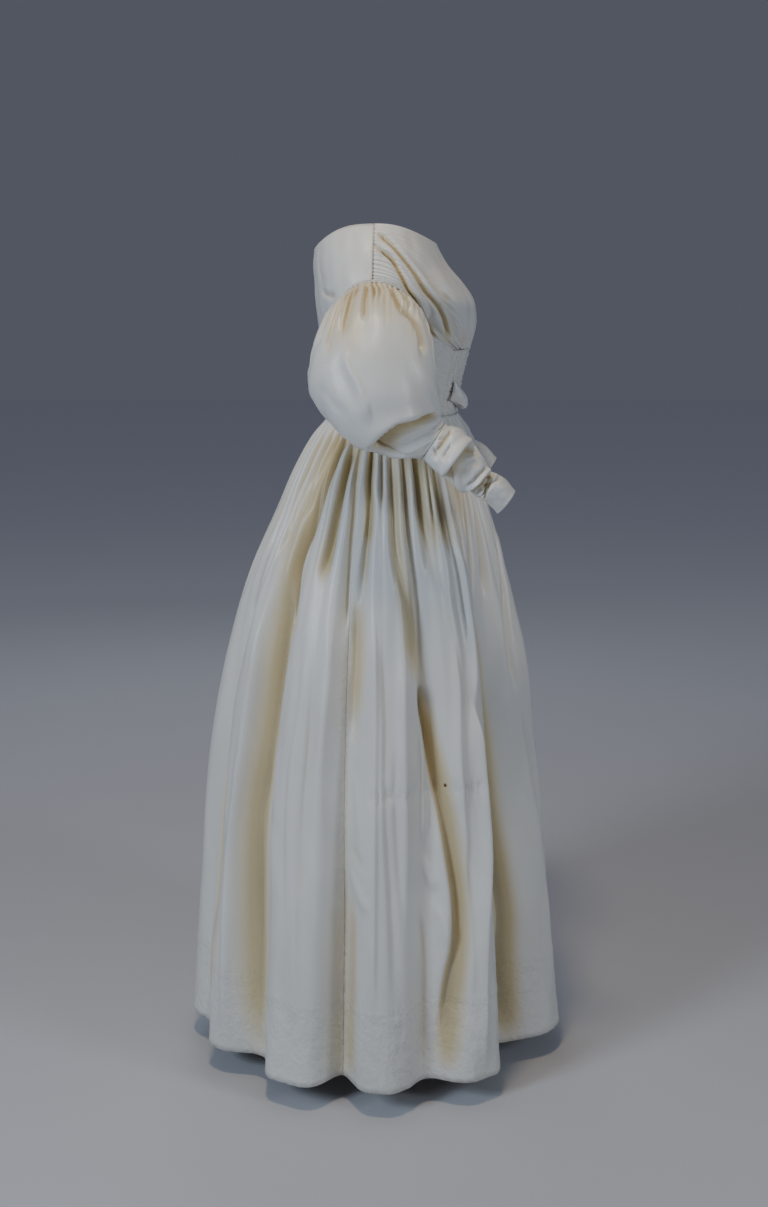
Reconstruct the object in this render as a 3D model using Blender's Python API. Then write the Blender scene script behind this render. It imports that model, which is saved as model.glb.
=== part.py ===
# Wedding dress of about 1835 in ivory silk satin, hollow and in the form that it has when worn.
# Metres, +Z up. The dress faces -Y, and the wearer's right is -X.
# The origin is midway between the shoulders, at the height where the dress rests on them.

import math
from collections import namedtuple

import bmesh
import bpy
import numpy as np

# Main dimensions
CLOTH = 0.0016
SEAM_GAP = 0.0003
PIPING_RADIUS = 0.0016
WAIST_Z = -0.303
HEM_Z = -1.360
BODY_MIDDLE_Y = 0.010
NECK_FRONT_DROP = 0.030
NECK_BACK_DROP = 0.039
SHOULDER_SEAM_DEG = 92.0
ARMHOLE_STEP_DEG = 20.0
RIBBON_WIDTH = 0.024
RIBBON_WALL = 0.0010

# Angles run round the body from the middle of the front to the wearer's right, in degrees.
# The armhole is an oval on the bodice, high enough to sit on the dropped shoulder.
ARMHOLE_DEG = 93.0
ARMHOLE_FRONT_DEG = 24.0
ARMHOLE_BACK_DEG = 30.0
ARMHOLE_Z = -0.150
ARMHOLE_RISE = 0.063
ARMHOLE_BODY_RADIUS = 0.12

# The gathered drape ends on a short arc at the high waist and runs up from it to the armhole.
DRAPE_ARC_DEG = 38.0
DRAPE_ARC_Z = -0.197
DRAPE_LAST_TURN = -10.0
DRAPE_CROWDING = 0.85

# The skirt's seams, as angles from the middle of the front.
SKIRT_FRONT_SEAM_DEG = 46.0
SKIRT_SIDE_SEAM_DEG = 102.0
PLEATS = 24
SKIRT_COLUMN_DEG = 3.0
SKIRT_ROWS = 8

Section = namedtuple("Section", "z half_width front back square")
BODICE = [
    Section(0.012, 0.135, -0.062, 0.092, 2.3),
    Section(0.000, 0.150, -0.071, 0.103, 2.3),
    Section(-0.020, 0.170, -0.081, 0.110, 2.3),
    Section(-0.040, 0.185, -0.091, 0.1135, 2.3),
    Section(-0.063, 0.196, -0.105, 0.115, 2.3),
    Section(-0.090, 0.204, -0.128, 0.1135, 2.3),
    Section(-0.115, 0.200, -0.146, 0.113, 2.3),
    Section(-0.140, 0.187, -0.152, 0.1105, 2.3),
    Section(-0.165, 0.171, -0.151, 0.1065, 2.2),
    Section(-0.195, 0.156, -0.143, 0.1015, 2.2),
    Section(-0.225, 0.143, -0.136, 0.096, 2.1),
    Section(-0.258, 0.130, -0.128, 0.090, 2.1),
    Section(-0.290, 0.1205, -0.1215, 0.086, 2.05),
    Section(-0.320, 0.1185, -0.119, 0.084, 2.05),
]
SKIRT = [
    Section(-0.290, 0.1185, -0.119, 0.084, 2.05),
    Section(-0.303, 0.1225, -0.123, 0.089, 2.05),
    Section(-0.340, 0.144, -0.138, 0.119, 2.05),
    Section(-0.391, 0.170, -0.156, 0.149, 2.05),
    Section(-0.459, 0.198, -0.180, 0.180, 2.0),
    Section(-0.560, 0.229, -0.210, 0.226, 2.0),
    Section(-0.700, 0.262, -0.245, 0.269, 2.0),
    Section(-0.880, 0.292, -0.269, 0.304, 2.0),
    Section(-1.100, 0.318, -0.291, 0.324, 2.0),
    Section(-1.380, 0.337, -0.317, 0.346, 2.0),
]

# Depth of the gathered pleats below the waist.
PleatDepth = namedtuple("PleatDepth", "z depth")
PLEAT_DEPTHS = [
    PleatDepth(-0.290, 0.005),
    PleatDepth(-0.303, 0.006),
    PleatDepth(-0.360, 0.011),
    PleatDepth(-0.460, 0.013),
    PleatDepth(-0.600, 0.009),
    PleatDepth(-0.800, 0.004),
    PleatDepth(-1.100, 0.0015),
    PleatDepth(-1.380, 0.0005),
]

# The skirt's large troughs: where each one starts and ends, how deep it is half way and at the hem,
# and how wide it is towards the front and towards the back.
Trough = namedtuple("Trough", "top_deg hem_deg middle_depth hem_depth front_deg back_deg")
TROUGHS = [
    Trough(-168, -166, 0.022, 0.036, 9, 9),
    Trough(-136, -138, 0.038, 0.046, 10, 8),
    Trough(-107, -106, 0.020, 0.044, 7, 8),
    Trough(-80, -83, 0.026, 0.038, 9, 7),
    Trough(-53, -50, 0.022, 0.044, 8, 8),
    Trough(-24, -22, 0.028, 0.040, 10, 8),
    Trough(4, 1, 0.012, 0.020, 8, 7),
    Trough(37, 38, 0.036, 0.074, 13, 9),
    Trough(70, 74, 0.024, 0.042, 8, 7),
    Trough(85, 82, 0.010, 0.004, 4, 4),
    Trough(100, 102, 0.018, 0.060, 6, 5),
    Trough(131, 131, 0.046, 0.058, 8, 10),
    Trough(160, 164, 0.024, 0.038, 8, 9),
]

# Rings of the right sleeve. Each has its front, outer, back and inner point, as the distance out
# from the middle plane, y and z. The armhole comes before the first ring of the puff.
Ring = namedtuple("Ring", "front outer back inner")
PUFF_RINGS = [
    Ring((0.212, -0.068, -0.158), (0.244, 0.015, -0.099), (0.208, 0.094, -0.155), (0.158, 0.012, -0.226)),
    Ring((0.235, -0.077, -0.190), (0.290, 0.018, -0.140), (0.232, 0.110, -0.192), (0.150, 0.014, -0.244)),
    Ring((0.240, -0.082, -0.225), (0.322, 0.018, -0.195), (0.238, 0.1165, -0.228), (0.146, 0.016, -0.262)),
    Ring((0.242, -0.085, -0.255), (0.334, 0.016, -0.250), (0.240, 0.112, -0.260), (0.148, 0.014, -0.282)),
    Ring((0.245, -0.088, -0.276), (0.328, 0.008, -0.300), (0.243, 0.084, -0.298), (0.158, 0.004, -0.302)),
    Ring((0.248, -0.090, -0.288), (0.308, -0.010, -0.332), (0.248, 0.038, -0.335), (0.185, -0.016, -0.318)),
    Ring((0.250, -0.091, -0.295), (0.290, -0.042, -0.338), (0.252, -0.012, -0.349), (0.208, -0.048, -0.326)),
    Ring((0.250, -0.090, -0.300), (0.279, -0.073, -0.326), (0.252, -0.056, -0.352), (0.222, -0.073, -0.326)),
]
LOWER_RINGS = [
    Ring((0.251, -0.095, -0.300), (0.283, -0.080, -0.330), (0.255, -0.062, -0.357), (0.222, -0.080, -0.330)),
    Ring((0.252, -0.108, -0.302), (0.292, -0.094, -0.340), (0.256, -0.082, -0.374), (0.220, -0.094, -0.340)),
    Ring((0.250, -0.124, -0.311), (0.289, -0.108, -0.353), (0.252, -0.100, -0.390), (0.216, -0.108, -0.353)),
    Ring((0.246, -0.137, -0.327), (0.276, -0.122, -0.366), (0.246, -0.117, -0.404), (0.214, -0.122, -0.366)),
    Ring((0.240, -0.153, -0.350), (0.267, -0.140, -0.379), (0.240, -0.130, -0.405), (0.212, -0.140, -0.379)),
    Ring((0.235, -0.165, -0.370), (0.261, -0.155, -0.393), (0.235, -0.146, -0.415), (0.208, -0.155, -0.393)),
    Ring((0.229, -0.187, -0.386), (0.254, -0.174, -0.405), (0.229, -0.160, -0.424), (0.204, -0.174, -0.405)),
    Ring((0.222, -0.203, -0.405), (0.246, -0.190, -0.422), (0.222, -0.176, -0.440), (0.198, -0.190, -0.422)),
]

# The gathers at the top of a puff, and the fold that tucks its lower end under at the elbow.
PUFF_GATHERS = 18
PUFF_GATHER_DEPTH = 0.0026
PUFF_GATHER_COLUMNS = 4
PUFF_TUCK_DEPTH = 0.011
PUFF_TUCK_AT = 0.80
PUFF_ROWS_AT = [0.0, 0.06, 0.16, 0.30, 0.50, 0.68, PUFF_TUCK_AT, 0.90, 1.0]

# The lower sleeve is pushed up into slanting folds.
LOWER_FOLDS = 3.6
LOWER_FOLD_SLANT = 0.55
LOWER_FOLD_DEPTH = 0.0055
LOWER_COLUMNS = 18
LOWER_ROWS = 12

# Folds of the drape: where each one lies across it at the shoulder seam, half way and at the arc.
DrapeFold = namedtuple("DrapeFold", "seam_at middle_at arc_at depth width")
DRAPE_FOLDS = [
    DrapeFold(0.00, 0.16, 0.42, 0.003, 0.07),
    DrapeFold(0.12, 0.48, 0.76, 0.011, 0.075),
    DrapeFold(0.38, 0.76, 0.94, 0.010, 0.075),
]
MIDRIFF_GATHERS = 6
MIDRIFF_GATHER_DEPTH = 0.0016

BOW_Z = -0.289
BOW_REACH_DEG = 34.0
BOW_RISE = 0.022
BOW_START_DEG = 3.6
BOW_CLEARANCE = 0.0010
BOW_BULGE = 0.013
KNOT_SIZE = (0.0134, 0.0170, 0.0170)


def empty_scene():
    for old in list(bpy.data.objects):
        bpy.data.objects.remove(old, do_unlink=True)


def make_material(name, color, roughness, coat=0.0):
    material = bpy.data.materials.new(name)
    material.use_nodes = True
    shader = material.node_tree.nodes["Principled BSDF"]
    shader.inputs["Base Color"].default_value = (*color, 1.0)
    shader.inputs["Roughness"].default_value = roughness
    shader.inputs["Metallic"].default_value = 0.0
    shader.inputs["Coat Weight"].default_value = coat
    return material


# Smooth curves and tables

def smooth_through(x, knots, values):
    # A cubic through the values, which may be numbers or points. It stays level past both ends.
    knots = np.asarray(knots, float)
    values = np.asarray(values, float)
    slopes = np.gradient(values, knots, axis=0)
    x = np.clip(np.asarray(x, float), knots[0], knots[-1])
    i = np.clip(np.searchsorted(knots, x) - 1, 0, len(knots) - 2)
    span = knots[i + 1] - knots[i]
    t = (x - knots[i]) / span
    start, end = 2 * t**3 - 3 * t**2 + 1, 3 * t**2 - 2 * t**3
    leave, arrive = (t**3 - 2 * t**2 + t) * span, (t**3 - t**2) * span
    return start * values[i] + end * values[i + 1] + leave * slopes[i] + arrive * slopes[i + 1]


def column(rows, z, name):
    ordered = sorted(rows, key=lambda row: row.z)
    return smooth_through(z, [row.z for row in ordered], [getattr(row, name) for row in ordered])


def ease(x, low, high):
    t = np.clip((x - low) / (high - low), 0.0, 1.0)
    return t * t * (3 - 2 * t)


def normals_of(surface, a, b, step_a, step_b, outward):
    across = surface(a + step_a, b) - surface(a - step_a, b)
    down = surface(a, b + step_b) - surface(a, b - step_b)
    normal = np.cross(across, down) * outward
    return normal / np.linalg.norm(normal, axis=-1, keepdims=True)


def oval(rows, degrees, z, inset=0.0):
    # A rounded section with its own depth at the front and at the back.
    angle = np.radians(degrees)
    power = 2.0 / column(rows, z, "square")
    side, ahead = np.sin(angle), np.cos(angle)
    side = np.sign(side) * np.abs(side) ** power
    ahead = np.sign(ahead) * np.abs(ahead) ** power
    front_depth = BODY_MIDDLE_Y - column(rows, z, "front")
    back_depth = column(rows, z, "back") - BODY_MIDDLE_Y
    depth = np.where(ahead > 0, front_depth, back_depth) - inset
    half_width = column(rows, z, "half_width") - inset
    return np.stack([-half_width * side, BODY_MIDDLE_Y - depth * ahead, z + 0 * degrees], axis=-1)


def bodice_points(degrees, z):
    return oval(BODICE, degrees, z)


def bodice_normals(degrees, z):
    return normals_of(bodice_points, degrees, z, 0.4, 0.002, -1.0)


def neck_z(degrees):
    ahead = np.cos(np.radians(degrees))
    drop = np.where(ahead > 0, NECK_FRONT_DROP, NECK_BACK_DROP)
    return -drop * ahead**2


def armhole_place(turn, margin=0.0):
    # Turn 0 is the armhole's front, 90 its top and 180 its back. The margin widens the oval.
    side, ahead = np.sin(np.radians(turn)), np.cos(np.radians(turn))
    reach = np.where(ahead > 0, ARMHOLE_FRONT_DEG, ARMHOLE_BACK_DEG)
    margin_deg = math.degrees(margin / ARMHOLE_BODY_RADIUS)
    degrees = ARMHOLE_DEG - (reach + margin_deg) * ahead
    return degrees, ARMHOLE_Z + (ARMHOLE_RISE + margin) * side


# Solids from surfaces

def cloth_solid(name, surfaces, columns, rows, material, wall=CLOTH):
    # Each surface gives outer points and normals for u and v from 0 to 1. Edges that meet are welded,
    # and the whole is extruded inwards.
    mesh = bmesh.new()
    facing = mesh.verts.layers.float_vector.new("facing")
    for surface in surfaces:
        grid = bmesh.ops.create_grid(mesh, x_segments=columns, y_segments=rows, size=0.5)["verts"]
        u = np.array([vert.co.x + 0.5 for vert in grid])
        v = np.array([vert.co.y + 0.5 for vert in grid])
        points, normals = surface(u, v)
        for vert, point, normal in zip(grid, points, normals):
            vert.co = point
            vert[facing] = normal
    bmesh.ops.remove_doubles(mesh, verts=mesh.verts[:], dist=1e-6)
    extruded = bmesh.ops.extrude_face_region(mesh, geom=mesh.faces[:])
    for item in extruded["geom"]:
        if isinstance(item, bmesh.types.BMVert):
            item.co -= item[facing] * wall
    bmesh.ops.recalc_face_normals(mesh, faces=mesh.faces[:])
    return finish_solid(name, mesh, material)


def finish_solid(name, mesh, material):
    data = bpy.data.meshes.new(name)
    mesh.to_mesh(data)
    mesh.free()
    data.shade_smooth()
    data.materials.append(material)
    solid = bpy.data.objects.new(name, data)
    bpy.context.scene.collection.objects.link(solid)
    return solid


def piping(name, points, material):
    curve = bpy.data.curves.new(name, "CURVE")
    curve.dimensions = "3D"
    curve.bevel_depth = PIPING_RADIUS
    curve.bevel_resolution = 0
    spline = curve.splines.new("POLY")
    spline.points.add(len(points) - 1)
    for target, point in zip(spline.points, points):
        target.co = (*point, 1.0)
    spline.use_cyclic_u = True
    curve.materials.append(material)
    solid = bpy.data.objects.new(name, curve)
    bpy.context.scene.collection.objects.link(solid)
    return solid


# Bodice

EDGE_MARGIN = PIPING_RADIUS + SEAM_GAP
HALF_GAP_DEG = math.degrees(0.5 * SEAM_GAP / 0.12)
BODICE_END_Z = WAIST_Z + 0.5 * SEAM_GAP

# A back has rows along the shoulder seam, the armhole and the side seam, and a side has columns
# under the drape and under the armhole.
BACK_ROWS = (3, round(180 / ARMHOLE_STEP_DEG), 3)
BACK_SHOULDER_PART = BACK_ROWS[0] / sum(BACK_ROWS)
BACK_SIDE_PART = (BACK_ROWS[0] + BACK_ROWS[1]) / sum(BACK_ROWS)
DRAPE_ROWS = (round((90 - DRAPE_LAST_TURN) / ARMHOLE_STEP_DEG), 5)
DRAPE_ARMHOLE_PART = DRAPE_ROWS[0] / sum(DRAPE_ROWS)
SIDE_COLUMNS = (DRAPE_ROWS[1], round((90 + DRAPE_LAST_TURN) / ARMHOLE_STEP_DEG))
SIDE_DRAPE_PART = SIDE_COLUMNS[0] / sum(SIDE_COLUMNS)


def back_edge(v):
    # The outer edge of a back: shoulder seam, back of the armhole, then side seam.
    seam = np.clip(v / BACK_SHOULDER_PART, 0.0, 1.0)
    turn = 90.0 + 180.0 * np.clip((v - BACK_SHOULDER_PART) / (BACK_SIDE_PART - BACK_SHOULDER_PART), 0.0, 1.0)
    side = np.clip((v - BACK_SIDE_PART) / (1.0 - BACK_SIDE_PART), 0.0, 1.0)
    degrees, z = armhole_place(turn, EDGE_MARGIN)
    top = ARMHOLE_Z + ARMHOLE_RISE + EDGE_MARGIN
    bottom = ARMHOLE_Z - ARMHOLE_RISE - EDGE_MARGIN
    seam_top = neck_z(SHOULDER_SEAM_DEG)
    on_shoulder, on_side = v < BACK_SHOULDER_PART, v > BACK_SIDE_PART
    z = np.where(on_shoulder, seam_top + (top - seam_top) * seam, z)
    z = np.where(on_side, bottom + (BODICE_END_Z - bottom) * side, z)
    degrees = np.where(on_shoulder, SHOULDER_SEAM_DEG + (ARMHOLE_DEG - SHOULDER_SEAM_DEG) * seam, degrees)
    degrees = np.where(on_side, ARMHOLE_DEG, degrees)
    return degrees + HALF_GAP_DEG, z


def back_surface(side):
    def surface(u, v):
        edge_deg, edge_z = back_edge(v)
        middle_deg = 180.0 - HALF_GAP_DEG
        degrees = middle_deg + (edge_deg - middle_deg) * u
        level_z = BODICE_END_Z * v + neck_z(degrees) * (1 - v)
        z = level_z + (edge_z - level_z) * u**2
        return bodice_points(side * degrees, z), bodice_normals(side * degrees, z)
    return surface


def drape_upper(v):
    # The upper edge of half the drape: along the neckline, then down the middle to the arc.
    on_neck = np.clip(v / DRAPE_ARMHOLE_PART, 0.0, 1.0)
    below = np.clip((v - DRAPE_ARMHOLE_PART) / (1.0 - DRAPE_ARMHOLE_PART), 0.0, 1.0)
    neck_deg = (SHOULDER_SEAM_DEG - HALF_GAP_DEG) * (1.0 - on_neck)
    return neck_deg, neck_z(neck_deg) + (DRAPE_ARC_Z - neck_z(0.0)) * below


def drape_lower(v):
    # Its lower edge: down the front of the armhole, then forward to the end of the arc.
    on_armhole = np.clip(v / DRAPE_ARMHOLE_PART, 0.0, 1.0)
    below = np.clip((v - DRAPE_ARMHOLE_PART) / (1.0 - DRAPE_ARMHOLE_PART), 0.0, 1.0)
    hole_deg, hole_z = armhole_place(90.0 + (DRAPE_LAST_TURN - 90.0) * on_armhole, EDGE_MARGIN)
    degrees = hole_deg + (DRAPE_ARC_DEG - hole_deg) * below
    return degrees - HALF_GAP_DEG * (1 - on_armhole), hole_z + (DRAPE_ARC_Z - hole_z) * below


def drape_place(share, v):
    # Half the drape, from its upper edge (0) to its lower one (1), and from the seam to the arc.
    share = share + DRAPE_CROWDING * 4 * v * (1 - v) * share * (1 - share)
    upper_deg, upper_z = drape_upper(v)
    lower_deg, lower_z = drape_lower(v)
    return upper_deg + (lower_deg - upper_deg) * share, upper_z + (lower_z - upper_z) * share


def drape_fold_depth(share, v):
    depth = 0 * v
    for fold in DRAPE_FOLDS:
        ends = fold.seam_at + (fold.arc_at - fold.seam_at) * v
        bow = fold.middle_at - 0.5 * (fold.seam_at + fold.arc_at)
        centre = ends + bow * 4 * v * (1 - v)
        depth = depth + fold.depth * np.exp(-(((share - centre) / fold.width) ** 2))
    return depth * ease(v, 0.05, 0.5) * (1.0 - 0.6 * ease(v, 0.8, 1.0))


def drape_half(side):
    def surface(u, v):
        degrees, z = drape_place(u, v)
        normals = bodice_normals(side * degrees, z + 0.5 * SEAM_GAP)
        points = bodice_points(side * degrees, z + 0.5 * SEAM_GAP)
        return points - normals * drape_fold_depth(u, v)[:, None], normals
    return surface


def midriff_surface(u, v):
    half = DRAPE_ARC_DEG - HALF_GAP_DEG
    degrees = half * (2.0 * u - 1.0)
    top = DRAPE_ARC_Z - 0.5 * SEAM_GAP
    z = top + (BODICE_END_Z - top) * v
    normals = bodice_normals(degrees, z)
    wave = 0.5 - 0.5 * np.cos(2 * math.pi * MIDRIFF_GATHERS * u)
    depth = MIDRIFF_GATHER_DEPTH * wave
    return bodice_points(degrees, z) - normals * depth[:, None], normals


def side_surface(side):
    def surface(u, v):
        # u runs from the midriff to the side seam, first under the drape, then under the armhole.
        start_deg = DRAPE_ARC_DEG + HALF_GAP_DEG
        corner_deg, corner_z = armhole_place(np.array(DRAPE_LAST_TURN), EDGE_MARGIN)
        under_drape = np.clip(u / SIDE_DRAPE_PART, 0.0, 1.0)
        under_armhole = np.clip((u - SIDE_DRAPE_PART) / (1.0 - SIDE_DRAPE_PART), 0.0, 1.0)
        hole_deg, hole_z = armhole_place(DRAPE_LAST_TURN - (90 + DRAPE_LAST_TURN) * under_armhole, EDGE_MARGIN)
        top_deg = np.where(under_armhole > 0, hole_deg, start_deg + (corner_deg - start_deg) * under_drape)
        drape_z = DRAPE_ARC_Z + (corner_z - DRAPE_ARC_Z) * under_drape - SEAM_GAP
        top_z = np.where(under_armhole > 0, hole_z, drape_z)
        waist_deg = start_deg + (ARMHOLE_DEG - start_deg) * u
        degrees = top_deg + (waist_deg - top_deg) * v - HALF_GAP_DEG * u
        z = top_z + (BODICE_END_Z - top_z) * v
        return bodice_points(side * degrees, z), bodice_normals(side * degrees, z)
    return surface


# Skirt

def skirt_depth(degrees, z):
    # How far the cloth goes in from the skirt's outline: gathered pleats above, large troughs below.
    wave = PLEATS * np.radians(degrees) + 0.7 * np.sin(np.radians(3 * degrees)) + 0.5
    depth = column(PLEAT_DEPTHS, z, "depth") * (0.5 - 0.5 * np.cos(wave)) ** 1.4
    fall = ease(z, WAIST_Z, HEM_Z)
    middle = ease(-z, -WAIST_Z, 0.78)
    for trough in TROUGHS:
        centre = trough.top_deg + (trough.hem_deg - trough.top_deg) * fall
        away = (degrees - centre + 180.0) % 360.0 - 180.0
        width = np.where(away < 0, trough.front_deg, trough.back_deg)
        if trough.top_deg < 0:
            width = np.where(away < 0, trough.back_deg, trough.front_deg)
        deepest = trough.middle_depth * middle + (trough.hem_depth - trough.middle_depth) * fall
        depth = depth + deepest * np.exp(-((away / width) ** 2))
    return depth


def skirt_points(degrees, z):
    return oval(SKIRT, degrees, z, skirt_depth(degrees, z))


def skirt_level(v):
    # Rows lie closer together near the waist, where the pleats change fastest.
    return WAIST_Z - 0.5 * SEAM_GAP + (HEM_Z - WAIST_Z) * (0.35 * v + 0.65 * v**1.7)


def skirt_surface(start_deg, end_deg):
    def surface(u, v):
        z = skirt_level(v)
        narrowest = np.minimum(column(SKIRT, z, "half_width"), column(SKIRT, z, "back") - BODY_MIDDLE_Y)
        gap_deg = np.degrees(0.75 * SEAM_GAP / narrowest)
        first, last = start_deg + gap_deg, end_deg - gap_deg
        degrees = first + (last - first) * u
        return skirt_points(degrees, z), normals_of(skirt_points, degrees, z, 0.5, 0.004, -1.0)
    return surface


# Sleeves

def ring_points(ring, turn):
    front, outer, back, inner = (np.array(point) for point in ring)
    middle = (front + outer + back + inner) / 4
    saddle = (front + back - outer - inner) / 4
    side, ahead = np.sin(np.radians(turn)), np.cos(np.radians(turn))
    double = np.cos(np.radians(2 * turn))
    forward, outward = (front - back) / 2, (outer - inner) / 2
    return middle + ahead[:, None] * forward + side[:, None] * outward + double[:, None] * saddle


def armhole_ring(turn):
    degrees, z = armhole_place(turn)
    points = bodice_points(degrees, z) + bodice_normals(degrees, z) * (EDGE_MARGIN + 0.6 * CLOTH)
    return points * np.array([-1.0, 1.0, 1.0])


def puff_points(turn, t):
    rings = [armhole_ring(turn)] + [ring_points(ring, turn) for ring in PUFF_RINGS]
    return along_rings(rings, t)


def lower_points(turn, t):
    # The lower sleeve starts where the puff ends, and keeps the seam's gap to it.
    cuff_side = PUFF_RINGS[-1]
    shift = np.array([0.0, -1.7, -1.0]) * SEAM_GAP
    start = Ring(*(tuple(np.array(point) + shift) for point in cuff_side))
    rings = [ring_points(ring, turn) for ring in [start, *LOWER_RINGS]]
    return along_rings(rings, t)


def along_rings(rings, t):
    rings = np.stack(rings)
    knots = np.linspace(0.0, 1.0, len(rings))
    slopes = np.gradient(rings, knots, axis=0)
    place = np.clip(t, 0.0, 1.0) * (len(rings) - 1)
    i = np.clip(np.floor(place).astype(int), 0, len(rings) - 2)
    each = np.arange(len(t))
    share = (place - i)[:, None]
    span = knots[1] - knots[0]
    start, end = 2 * share**3 - 3 * share**2 + 1, 3 * share**2 - 2 * share**3
    leave, arrive = (share**3 - 2 * share**2 + share) * span, (share**3 - share**2) * span
    near, far = rings[i, each], rings[i + 1, each]
    return start * near + end * far + leave * slopes[i, each] + arrive * slopes[i + 1, each]


def puff_depth(turn, t):
    gathers = (0.5 - 0.5 * np.cos(np.radians(turn) * PUFF_GATHERS)) * PUFF_GATHER_DEPTH
    top = np.exp(-(((t - 0.10) / 0.14) ** 2))
    outer = np.clip(np.sin(np.radians(turn)), 0.0, 1.0) ** 0.7
    tuck = PUFF_TUCK_DEPTH * outer * np.exp(-(((t - PUFF_TUCK_AT) / 0.05) ** 2))
    return gathers * top + tuck


def lower_depth(turn, t):
    # The folds slant, so each is higher up the arm on the outer side than on the inner one.
    phase = LOWER_FOLDS * t + LOWER_FOLD_SLANT * np.cos(np.radians(turn - 40.0))
    wave = 0.5 + 0.5 * np.cos(2 * math.pi * phase)
    return LOWER_FOLD_DEPTH * wave**1.5 * ease(t, 0.04, 0.2) * (1.0 - ease(t, 0.72, 0.9))


def sleeve_surface(side, points_of, depth_of, rows_at):
    mirror = np.array([-side, 1.0, 1.0])

    def surface(u, v):
        turn = 360.0 * u
        v = np.interp(v, np.linspace(0.0, 1.0, len(rows_at)), rows_at)
        inside = np.clip(v, 0.002, 0.998)
        normals = normals_of(points_of, turn, inside, 1.0, 0.002, -1.0)
        points = points_of(turn, v) - normals * depth_of(turn, v)[:, None]
        return points * mirror, normals * mirror
    return surface


def armhole_line(side):
    turn = np.arange(90.0, 450.0, ARMHOLE_STEP_DEG)
    degrees, z = armhole_place(turn)
    return bodice_points(side * degrees, z)


# Bow

def bow_loop_surface(side):
    def points(u, v):
        # The ribbon leaves the knot along the bodice, turns at its far end and comes back outside.
        out = np.sin(math.pi * u)
        across = RIBBON_WIDTH * (v - 0.5) * (0.45 + 0.55 * out)
        degrees = side * (BOW_START_DEG + BOW_REACH_DEG * out)
        z = BOW_Z + BOW_RISE * out + across
        height = BOW_CLEARANCE + BOW_BULGE * ease(u, 0.25, 0.75)
        return bodice_points(degrees, z) + bodice_normals(degrees, z) * height[:, None]

    def surface(u, v):
        return points(u, v), normals_of(points, u, v, 0.004, 0.01, side)
    return surface


def bow_knot(material):
    # A rounded knot between the ends of the loops.
    mesh = bmesh.new()
    bmesh.ops.create_uvsphere(mesh, u_segments=10, v_segments=6, radius=0.5)
    front = bodice_points(np.zeros(1), np.array([BOW_Z]))[0]
    middle = front + np.array([0.0, -(BOW_CLEARANCE + 0.5 * KNOT_SIZE[1]), 0.0])
    for vert in mesh.verts:
        vert.co = middle + np.array(vert.co) * np.array(KNOT_SIZE)
    return finish_solid("bow_knot", mesh, material)


def build():
    empty_scene()
    satin = make_material("silk_satin", (0.74, 0.69, 0.58), 0.42)
    ribbon = make_material("silk_ribbon", (0.82, 0.78, 0.68), 0.28)

    for side, hand in ((1, "right"), (-1, "left")):
        cloth_solid("back_" + hand, [back_surface(side)], 6, sum(BACK_ROWS), satin)
        cloth_solid("side_" + hand, [side_surface(side)], sum(SIDE_COLUMNS), 4, satin)
        puff = sleeve_surface(side, puff_points, puff_depth, PUFF_ROWS_AT)
        puff_columns = PUFF_GATHER_COLUMNS * PUFF_GATHERS
        cloth_solid("sleeve_puff_" + hand, [puff], puff_columns, len(PUFF_ROWS_AT) - 1, satin)
        lower = sleeve_surface(side, lower_points, lower_depth, [0.0, 1.0])
        cloth_solid("sleeve_lower_" + hand, [lower], LOWER_COLUMNS, LOWER_ROWS, satin)
        piping("armhole_piping_" + hand, armhole_line(side), satin)
        cloth_solid("bow_loop_" + hand, [bow_loop_surface(side)], 14, 2, ribbon, wall=RIBBON_WALL)

    bow_knot(ribbon)
    cloth_solid("front_drape", [drape_half(1), drape_half(-1)], 24, sum(DRAPE_ROWS), satin)
    cloth_solid("midriff", [midriff_surface], 2 * MIDRIFF_GATHERS, 4, satin)

    seams = [-180.0, -SKIRT_SIDE_SEAM_DEG, -SKIRT_FRONT_SEAM_DEG, SKIRT_FRONT_SEAM_DEG, SKIRT_SIDE_SEAM_DEG, 180.0]
    names = ["skirt_back_left", "skirt_side_left", "skirt_front", "skirt_side_right", "skirt_back_right"]
    for name, start, end in zip(names, seams, seams[1:]):
        columns = round((end - start) / SKIRT_COLUMN_DEG)
        cloth_solid(name, [skirt_surface(start, end)], columns, SKIRT_ROWS, satin)


build()
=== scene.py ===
# The looks of the wedding dress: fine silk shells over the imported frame, with seams, creases and bow.
# Metres, +Z up. The dress faces -Y and the wearer's right is -X, as in the frame.
# Angles run round the body from the middle of the front to the wearer's right, in degrees.

import math
from collections import namedtuple

import bmesh
import bpy
import numpy as np
from mathutils import Matrix, Vector


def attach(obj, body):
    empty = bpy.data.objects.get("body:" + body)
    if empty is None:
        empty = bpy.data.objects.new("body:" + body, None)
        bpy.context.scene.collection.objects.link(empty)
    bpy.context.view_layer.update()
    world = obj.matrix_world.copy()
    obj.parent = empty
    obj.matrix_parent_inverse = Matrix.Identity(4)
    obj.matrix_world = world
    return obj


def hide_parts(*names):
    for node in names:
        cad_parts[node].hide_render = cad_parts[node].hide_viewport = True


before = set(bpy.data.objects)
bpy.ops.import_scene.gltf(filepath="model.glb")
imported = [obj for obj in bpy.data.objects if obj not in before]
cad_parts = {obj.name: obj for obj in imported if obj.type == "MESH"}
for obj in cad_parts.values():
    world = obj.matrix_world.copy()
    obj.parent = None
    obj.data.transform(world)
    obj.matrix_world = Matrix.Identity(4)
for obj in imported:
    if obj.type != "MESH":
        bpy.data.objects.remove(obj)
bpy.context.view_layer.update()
print("frame loaded")


# Camera, lights and floor

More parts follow.
